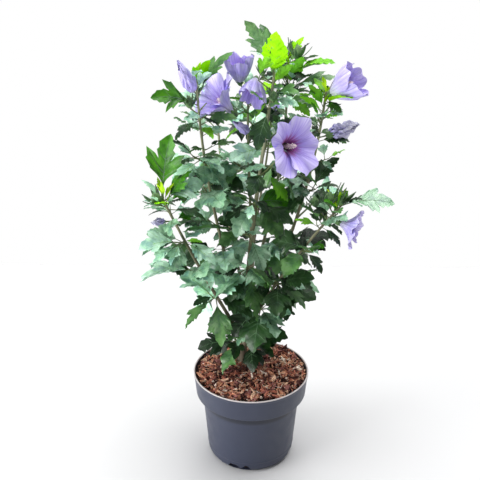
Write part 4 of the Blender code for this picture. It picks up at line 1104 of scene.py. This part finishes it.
# ==== the flowers ====
# Rose-of-Sharon blooms: five broad lilac petals, ruffled at the edge, whose dark throat bleeds out
# along the veins, round a cream column of stamens. Each flower, open, furled or in bud, sits on a
# short stalk in a ring of narrow green bracts.
PETALS = 5
PETAL_HALF = 50.0  # degrees that a petal reaches to each side of its middle
PETAL_GRID = (27, 25)
PETAL_THICKNESS = 0.0004
CUP_SPREAD = 45  # a flower spread less than this is a cup, whose petals lean out and come back in
CUP_LEAN = (48, 4)
FURLED_GRID = (34, 72)
FADED = 30  # a furled flower that has sunk below this climb is past its best
ROLLED, WILTED = (0.55, 0.03), (1.15, 0.22)  # how soon each kind of furled flower swells, how crumpled it is
WIDE_OPEN = 1.12  # how much further a flower reaches once it is more than a cup
CALYX_GRID, BUD_GRID, BRACT_GRID = (10, 30), (12, 20), (6, 3)
# By kind of flower: how far back its calyx sits, how long it is and how wide, as shares.
CALYXES = {"open": (0.05, 0.34, 0.32), "furled": (0.03, 0.36, 0.34)}
# Its bracts: how far back they sit, their length, number and lean.
BRACTS = {"open": (0.04, 0.26, 8, 38), "furled": (0.02, 0.30, 8, 34), "bud": (0.0, 1.45, 9, 40)}
STALK_RADII = (0.0011, 0.0010, 0.0010, 0.0011, 0.0013, 0.0018)
ANTHERS = 70
ANTHER_SIZE = 0.016  # share of the flower's
COLUMN_RADII = np.linspace(0.0021, 0.0011, 8)
GOLDEN_TURN = 2.39996  # radians from one anther to the next


def set_round(seat, length, high, out, angle, wide=0.0, bow=0.0):
    """Points on a flower, whose seat is its foot and its axis's bearing and climb: how high they lie along
    the axis, how far out from it at an angle round it, how far off that angle, and how far bowed, as shares
    of its length."""
    base, turn, tilt = seat
    axis, side = ways(turn, tilt), ways(turn + 90, 0)
    across = out * np.cos(angle) - wide * np.sin(angle) + bow
    aside = out * np.sin(angle) + wide * np.cos(angle)
    local = np.stack(np.broadcast_arrays(high, across, aside), axis=-1)
    return base + length * local @ np.array([axis, side, np.cross(axis, side)])


def petal_grid(seat, length, spread, chance):
    """Five petals. Along its middle a petal's lean from the axis changes evenly, out to its full spread or,
    in a cup, back in, so its height and its distance from the axis are the sums of that lean's cosine and
    sine. Its sides sweep round the axis from a narrow claw, one edge over the next petal and one under it;
    it is pleated along its veins, and a ruffle grows towards its rounded end."""
    s = np.linspace(0, 1, PETAL_GRID[0])[:, None]
    v = np.linspace(-1, 1, PETAL_GRID[1])[None, :]
    points, sheet = [], []
    for k in range(PETALS):
        phase = chance.uniform(0, 6, 4)
        end = 1 + chance.uniform(-0.12, 0.06) - 0.27 * np.abs(v) ** 2.6 + 0.030 * np.sin(8 * v + phase[3])
        reach = s * end
        first, last = CUP_LEAN if spread < CUP_SPREAD else (10, spread * 1.25 + chance.uniform(-22, 14))
        first, change = np.radians(first), np.radians(last - first)
        lean = first + change * reach
        out = 0.03 + (np.cos(first) - np.cos(lean)) / change
        along = 0.02 + (np.sin(lean) - np.sin(first)) / change
        claw = 0.60 + 0.40 * np.sin(np.pi / 2 * np.clip(reach / 0.5, 0, 1))
        middle = 2 * np.pi * (k + chance.uniform(-0.07, 0.07)) / PETALS
        pleats = 0.019 * np.sin(9 * v + phase[0]) + 0.010 * np.sin(21 * v + phase[1])
        ruffle = 0.060 * reach**3 * np.sin(6.5 * v + phase[2] + 2 * reach) + 0.05 * reach**2 * v**2
        off = pleats * reach * (1.25 - 0.5 * reach) + ruffle + 0.012 * reach**6 * np.sin(17 * v + phase[1])
        off = off - 0.026 * v * (0.25 + reach)
        out, along = out - off * np.cos(lean), along + off * np.sin(lean)
        points.append(set_round(seat, length, along, out, middle + np.radians(PETAL_HALF) * v * claw))
        sheet.append(np.stack(np.broadcast_arrays(0.5 + 0.5 * v + 0.2 * k, reach), axis=-1))
    return np.array(points), np.array(sheet)


def furled_petals(seat, length, fullest, crumpled, chance):
    """A closed flower: its petals rolled round each other, as one sheet wound one and a half times about the
    axis, fullest before its middle, fluted by folds that twist along it, and drawn in to a slanting tip."""
    s = np.linspace(0, 1, FURLED_GRID[0])[:, None]
    v = np.linspace(0, 1, FURLED_GRID[1])[None, :]
    fullness = 0.050 + 0.150 * np.sin(np.pi * s**fullest) ** 0.8 + 0.03 * s
    around = 2 * np.pi * (1.55 * v + 0.28 * s) + chance.uniform(0, 6)
    flutes = np.sin(5 * around + 7 * s) + 0.6 * np.sin(9 * around - 11 * s + 2)
    crumples = np.sin(17 * s + 3 * around) * np.sin(4 * around + 9 * s)
    folds = 1 + (0.15 + crumpled) * flutes * np.clip(3 * s, 0, 1) + crumpled * crumples
    along = s * (0.86 + 0.14 * np.sin(2 * np.pi * v * 1.5 + 1.2)) * (1 - 0.12 * v**4)
    radius = fullness * (0.62 + 0.38 * v) * folds
    points = set_round(seat, length, along, radius, around, bow=crumpled * 0.8 * s**2)
    return points, np.stack(np.broadcast_arrays(3 * v, 0.42 + 0.58 * s), axis=-1)


def bracts(seat, length, count, lean, chance):
    """Narrow green bracts round a calyx: each a pointed strip that leans out and curls back in."""
    s = np.linspace(0, 1, BRACT_GRID[0])[:, None]
    v = np.linspace(-1, 1, BRACT_GRID[1])[None, :]
    points = []
    for k in range(count):
        angle = 2 * np.pi * (k + chance.uniform(-0.2, 0.2)) / count
        slope = np.radians(lean + chance.uniform(-12, 12))
        long = length * chance.uniform(0.8, 1.15)
        out = np.sin(slope) * s - 0.18 * s**2 + 0.08 + 0.03 * np.abs(v) * s
        half = 0.085 * np.sin(np.pi * np.clip(s * 0.86 + 0.12, 0, 1)) * v
        points.append(set_round(seat, long, np.cos(slope) * s, out, angle, wide=half))
    return np.array(points)


def rings(grid):
    """Shares from 0 to 1 down a grid's rows, and angles all round along its columns."""
    return np.linspace(0, 1, grid[0])[:, None], np.arange(grid[1])[None, :] * 2 * np.pi / grid[1]


def calyx(seat, length, wide):
    """A green cup of five pointed sepals, ribbed where they meet."""
    s, angle = rings(CALYX_GRID)
    radius = wide * np.sin(np.pi * (0.06 + 0.78 * s)) ** 0.7 * (1 + 0.07 * np.cos(5 * angle) * s)
    return set_round(seat, length, s * (0.80 + 0.20 * np.cos(5 * angle) * s**2), radius, angle)


def bud_skin(seat, length):
    """A plump bud: five sepals shut over the petals, grooved between them and drawn up to a point."""
    s, angle = rings(BUD_GRID)
    grooves = 1 - 0.10 * np.abs(np.cos(2.5 * angle)) ** 4
    radius = 0.37 * np.sin(np.pi * (0.04 + 0.96 * s) ** 0.8) ** 0.75 * grooves
    return set_round(seat, length, s, np.where(s >= 1, 0.004, radius), angle)


def stamens(seat, length):
    """The column's line and its anthers, set round it in a spiral a little out from it."""
    share = np.linspace(0.05, 0.66, len(COLUMN_RADII))
    k = np.arange(ANTHERS)
    out = 0.052 + 0.014 * np.sin(k * 1.7)
    spots = set_round(seat, length, 0.26 + 0.38 * k / ANTHERS, out, k * GOLDEN_TURN)
    return set_round(seat, length, share, 0.02 * share**2, 0.0), spots


def beads(middles, size):
    """Eight-faced beads at many points."""
    shape = np.array([(1, 0, 0), (0, 1, 0), (-1, 0, 0), (0, -1, 0), (0, 0, 1), (0, 0, -1)]) * 1.0
    ends = np.array([(0, 1, 4), (1, 2, 4), (2, 3, 4), (3, 0, 4), (1, 0, 5), (2, 1, 5), (3, 2, 5), (0, 3, 5)])
    points = middles[:, None] + shape * size[:, None, None]
    return points.reshape(-1, 3), repeated(ends, len(middles), 6)


def petal_silk(name, throat, rose, lilac, rim, vein_dark_and_fold_shade):
    """Petal: a wine-dark throat that bleeds out along fine radiating veins into lilac, paler to the rim,
    with painted shade in broad darker patches for its folds.
    """
    made = Finish(name, lilac, 0.55, Specular_IOR_Level=0.25, Sheen_Weight=0.2)
    veins = made.grain(1.0, (30, 1.0, 1), 3, "UV")
    broad = made.grain(1.0, (8, 1.4, 1), 2, "UV")
    bleed = made.node("ShaderNodeMath", made.along(1, "UV"), operation="ADD")
    made.tree.links.new(made.between(veins, 0.3, 0.7, 0.13, -0.13), bleed.inputs[1])
    stops = ((0.0, throat), (0.29, throat), (0.38, rose), (0.54, lilac), (1.0, rim))
    petal = made.colours(bleed.outputs[0], *stops)
    # Painted shade: broad patches darken the petal as the shade in its folds.
    folds = made.mixed(made.between(broad, 0.35, 0.7, 0.0, 0.45), petal, vein_dark_and_fold_shade)
    made.set("Base Color", made.mixed(made.between(veins, 0.50, 0.66, 0.0, 0.55), folds, vein_dark_and_fold_shade))
    return made.relief(veins, 0.0014, 0.7).look


# Each silk: its throat, the flush round that, the petal, its rim and its dark veins, whose colour also
# paints the shade in its folds.
WINE = (0.22, 0.005, 0.065)
SILKS = {
    "petal_silk": (WINE, (0.46, 0.06, 0.28), (0.53, 0.43, 0.96), (0.74, 0.69, 0.99), (0.31, 0.22, 0.76)),
    "petal_backs": (
        (0.72, 0.70, 0.84), (0.66, 0.62, 0.88), (0.48, 0.42, 0.87), (0.67, 0.63, 0.94), (0.26, 0.20, 0.64),
    ),
    "faded_silk": (WINE, (0.12, 0.05, 0.30), (0.44, 0.40, 0.76), (0.86, 0.85, 0.95), (0.09, 0.07, 0.34)),
}
silk, back_silk, faded_silk = (petal_silk(name, *colours) for name, colours in SILKS.items())
opened, rolled, faded, cups, bract_strips, buds = [], [], [], [], [], []
flower_lines, columns_made, anthers, anther_sizes = [], [], [], []
chance = np.random.default_rng(31)
for name, flowers in BLOOMS.items():
    for share, stalk_way, aim, size, kind, spread in flowers:
        root, base, heading = flower_stand(stems[name], share, stalk_way, aim)
        seat = (base, *aim)
        bow = np.array([root, root + (base - root) * 0.45 - heading * 0.001, base, base + heading * 0.002])
        flower_lines.append(at(bow, np.linspace(0, length_of(bow), len(STALK_RADII))))
        if kind == "open":
            full = size if spread < CUP_SPREAD else size * WIDE_OPEN
            opened.append(petal_grid(seat, full, spread, chance))
            line, spots = stamens(seat, size)
            columns_made.append(line)
            anthers.append(spots)
            anther_sizes.append(np.full(ANTHERS, size * ANTHER_SIZE))
        elif kind == "furled":
            closed, how = (faded, WILTED) if aim[1] < FADED else (rolled, ROLLED)
            closed.append(furled_petals(seat, size, *how, chance))
        else:
            buds.append(bud_skin(seat, size))
        if kind in CALYXES:
            back, long, wide = CALYXES[kind]
            cups.append(calyx((base - heading * size * back, *aim), size * long, wide))
        back, long, count, lean = BRACTS[kind]
        bract_strips.append(bracts((base - heading * size * back, *aim), size * long, count, lean, chance))


def flower_piece(name, grids, faces_of_one, look, sheet=None):
    """One kind of flower part, from its grids and the faces of one of them."""
    points = np.asarray(grids).reshape(-1, 3)
    each = int(np.prod(np.shape(grids)[-3:-1]))
    faces = [repeated(group, len(points) // each, each) for group in faces_of_one]
    made = piece(name, points, faces, look, None if sheet is None else sheet.reshape(-1, 2))
    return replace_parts(made, *[mass for mass in MASSES if mass in BLOOMS])


fronts, sheet = (np.array(group) for group in zip(*opened))
flower_piece("open_petals", fronts, [sheet_faces(*PETAL_GRID)], silk, sheet)
# Their paler outer skins, a hair behind them.
away = np.cross(np.gradient(fronts, axis=-2), np.gradient(fronts, axis=-3))
away /= np.linalg.norm(away, axis=-1, keepdims=True)
backs = fronts + PETAL_THICKNESS * away
flower_piece("petal_backs", backs, [sheet_faces(*PETAL_GRID)[:, ::-1]], back_silk, sheet)
for name, closed, look in (("furled_petals", rolled, back_silk), ("faded_petals", faded, faded_silk)):
    points, sheet = (np.array(group) for group in zip(*closed))
    flower_piece(name, points, [sheet_faces(*FURLED_GRID)[:, ::-1]], look, sheet)

# Calyx and bud: dull green, downy.
sepal = Finish("sepal_green", (0.085, 0.18, 0.055), 0.7, Sheen_Weight=0.2)
down = sepal.grain(300, detail=3)
sepal.grained(down, (0.3, (0.055, 0.125, 0.04)), (0.7, (0.13, 0.25, 0.075)), depth=0.0005, strength=0.5)
ribs, ends = tube_faces(*CALYX_GRID)
flower_piece("calyx_cups", cups, [ribs, ends[:1]], sepal.look)
flower_piece("flower_buds", buds, tube_faces(*BUD_GRID), sepal.look)
bract = Finish("bract_green", (0.045, 0.10, 0.04), 0.55)
bract.grained(bract.grain(260, detail=3), (0.3, (0.022, 0.055, 0.024)), (0.7, (0.075, 0.16, 0.055)))
flower_piece("bracts", np.concatenate(bract_strips), [sheet_faces(*BRACT_GRID)[:, ::-1]], bract.look)
made = piece("flower_stalks", *rods(flower_lines, [STALK_RADII] * len(flower_lines), 7), green)
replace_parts(made, *BLOOMS)

cream = Finish("stamen_cream", (0.90, 0.80, 0.72), 0.6)
powder = cream.grain(500, detail=3)
cream.grained(powder, (0.3, (0.84, 0.62, 0.62)), (0.65, (0.95, 0.88, 0.78)), depth=0.0004, strength=0.6)
points, faces = rods(columns_made, [COLUMN_RADII] * len(columns_made), 9)
bead_points, bead_faces = beads(np.concatenate(anthers), np.concatenate(anther_sizes))
faces.append(bead_faces + len(points))
made = piece("stamen_columns", np.vstack([points, bead_points]), faces, cream.look)
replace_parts(made, *BLOOMS)


# ==== floor and light ====
# A plain pale floor under one wide soft panel overhead, a little behind the
# shrub and to its right, and a smaller, softer one low on the left.
FLOOR_SIDE, FLOOR_FRONT, FLOOR_BACK = 1.4, -1.2, 0.8
corners = [(side * FLOOR_SIDE, FLOOR_FRONT, 0) for side in (-1, 1)]
corners += [(side * FLOOR_SIDE, FLOOR_BACK, 0) for side in (1, -1)]
floor = bpy.data.meshes.new("floor")
floor.from_pydata(corners, [], [(0, 1, 2, 3)])
pale = Finish("pale_floor", (0.65, 0.65, 0.652), 0.9, Specular_IOR_Level=0.1)
pale.relief(pale.grain(40), 0.0005, 0.05)
floor.materials.append(pale.look)
ground = set_out("floor", floor)


def soft_light(name, place, towards, size, power):
    """A square light panel at a place, turned to a point."""
    made = set_out(name, bpy.data.lights.new(name, "AREA"))
    made.data.energy, made.data.size = power, size
    made.location = place
    way = np.array(towards, float) - place
    tilt, turn = np.arctan2(np.hypot(way[0], way[1]), -way[2]), np.arctan2(way[1], way[0])
    made.rotation_euler = (tilt, 0, turn - np.pi / 2)


soft_light("top", (0.26, 0.58, 2.9), (0, 0.30, 0), 2.8, 136)
soft_light("key", (-1.7, -0.75, 0.60), (0, 0, 0.30), 1.3, 46)

# Below the level of the eye the sky is white; above it, dimmer, so that the panel overhead casts a shadow.
SKY_BAND = ((0.02, (1.0, 1.0, 1.0)), (0.10, (0.24, 0.24, 0.25)))
sky = bpy.data.worlds.new("studio")
sky.use_nodes = True
nodes, links = sky.node_tree.nodes, sky.node_tree.links
up = nodes.new("ShaderNodeSeparateXYZ")
links.new(nodes.new("ShaderNodeTexCoord").outputs["Generated"], up.inputs[0])
band = nodes.new("ShaderNodeValToRGB")
for stop, (place, colour) in zip(band.color_ramp.elements, SKY_BAND):
    stop.position, stop.color = place, (*colour, 1)
links.new(up.outputs[2], band.inputs[0])
links.new(band.outputs[0], nodes["Background"].inputs["Color"])
bpy.context.scene.world = sky
bpy.context.scene.view_settings.view_transform = "Standard"
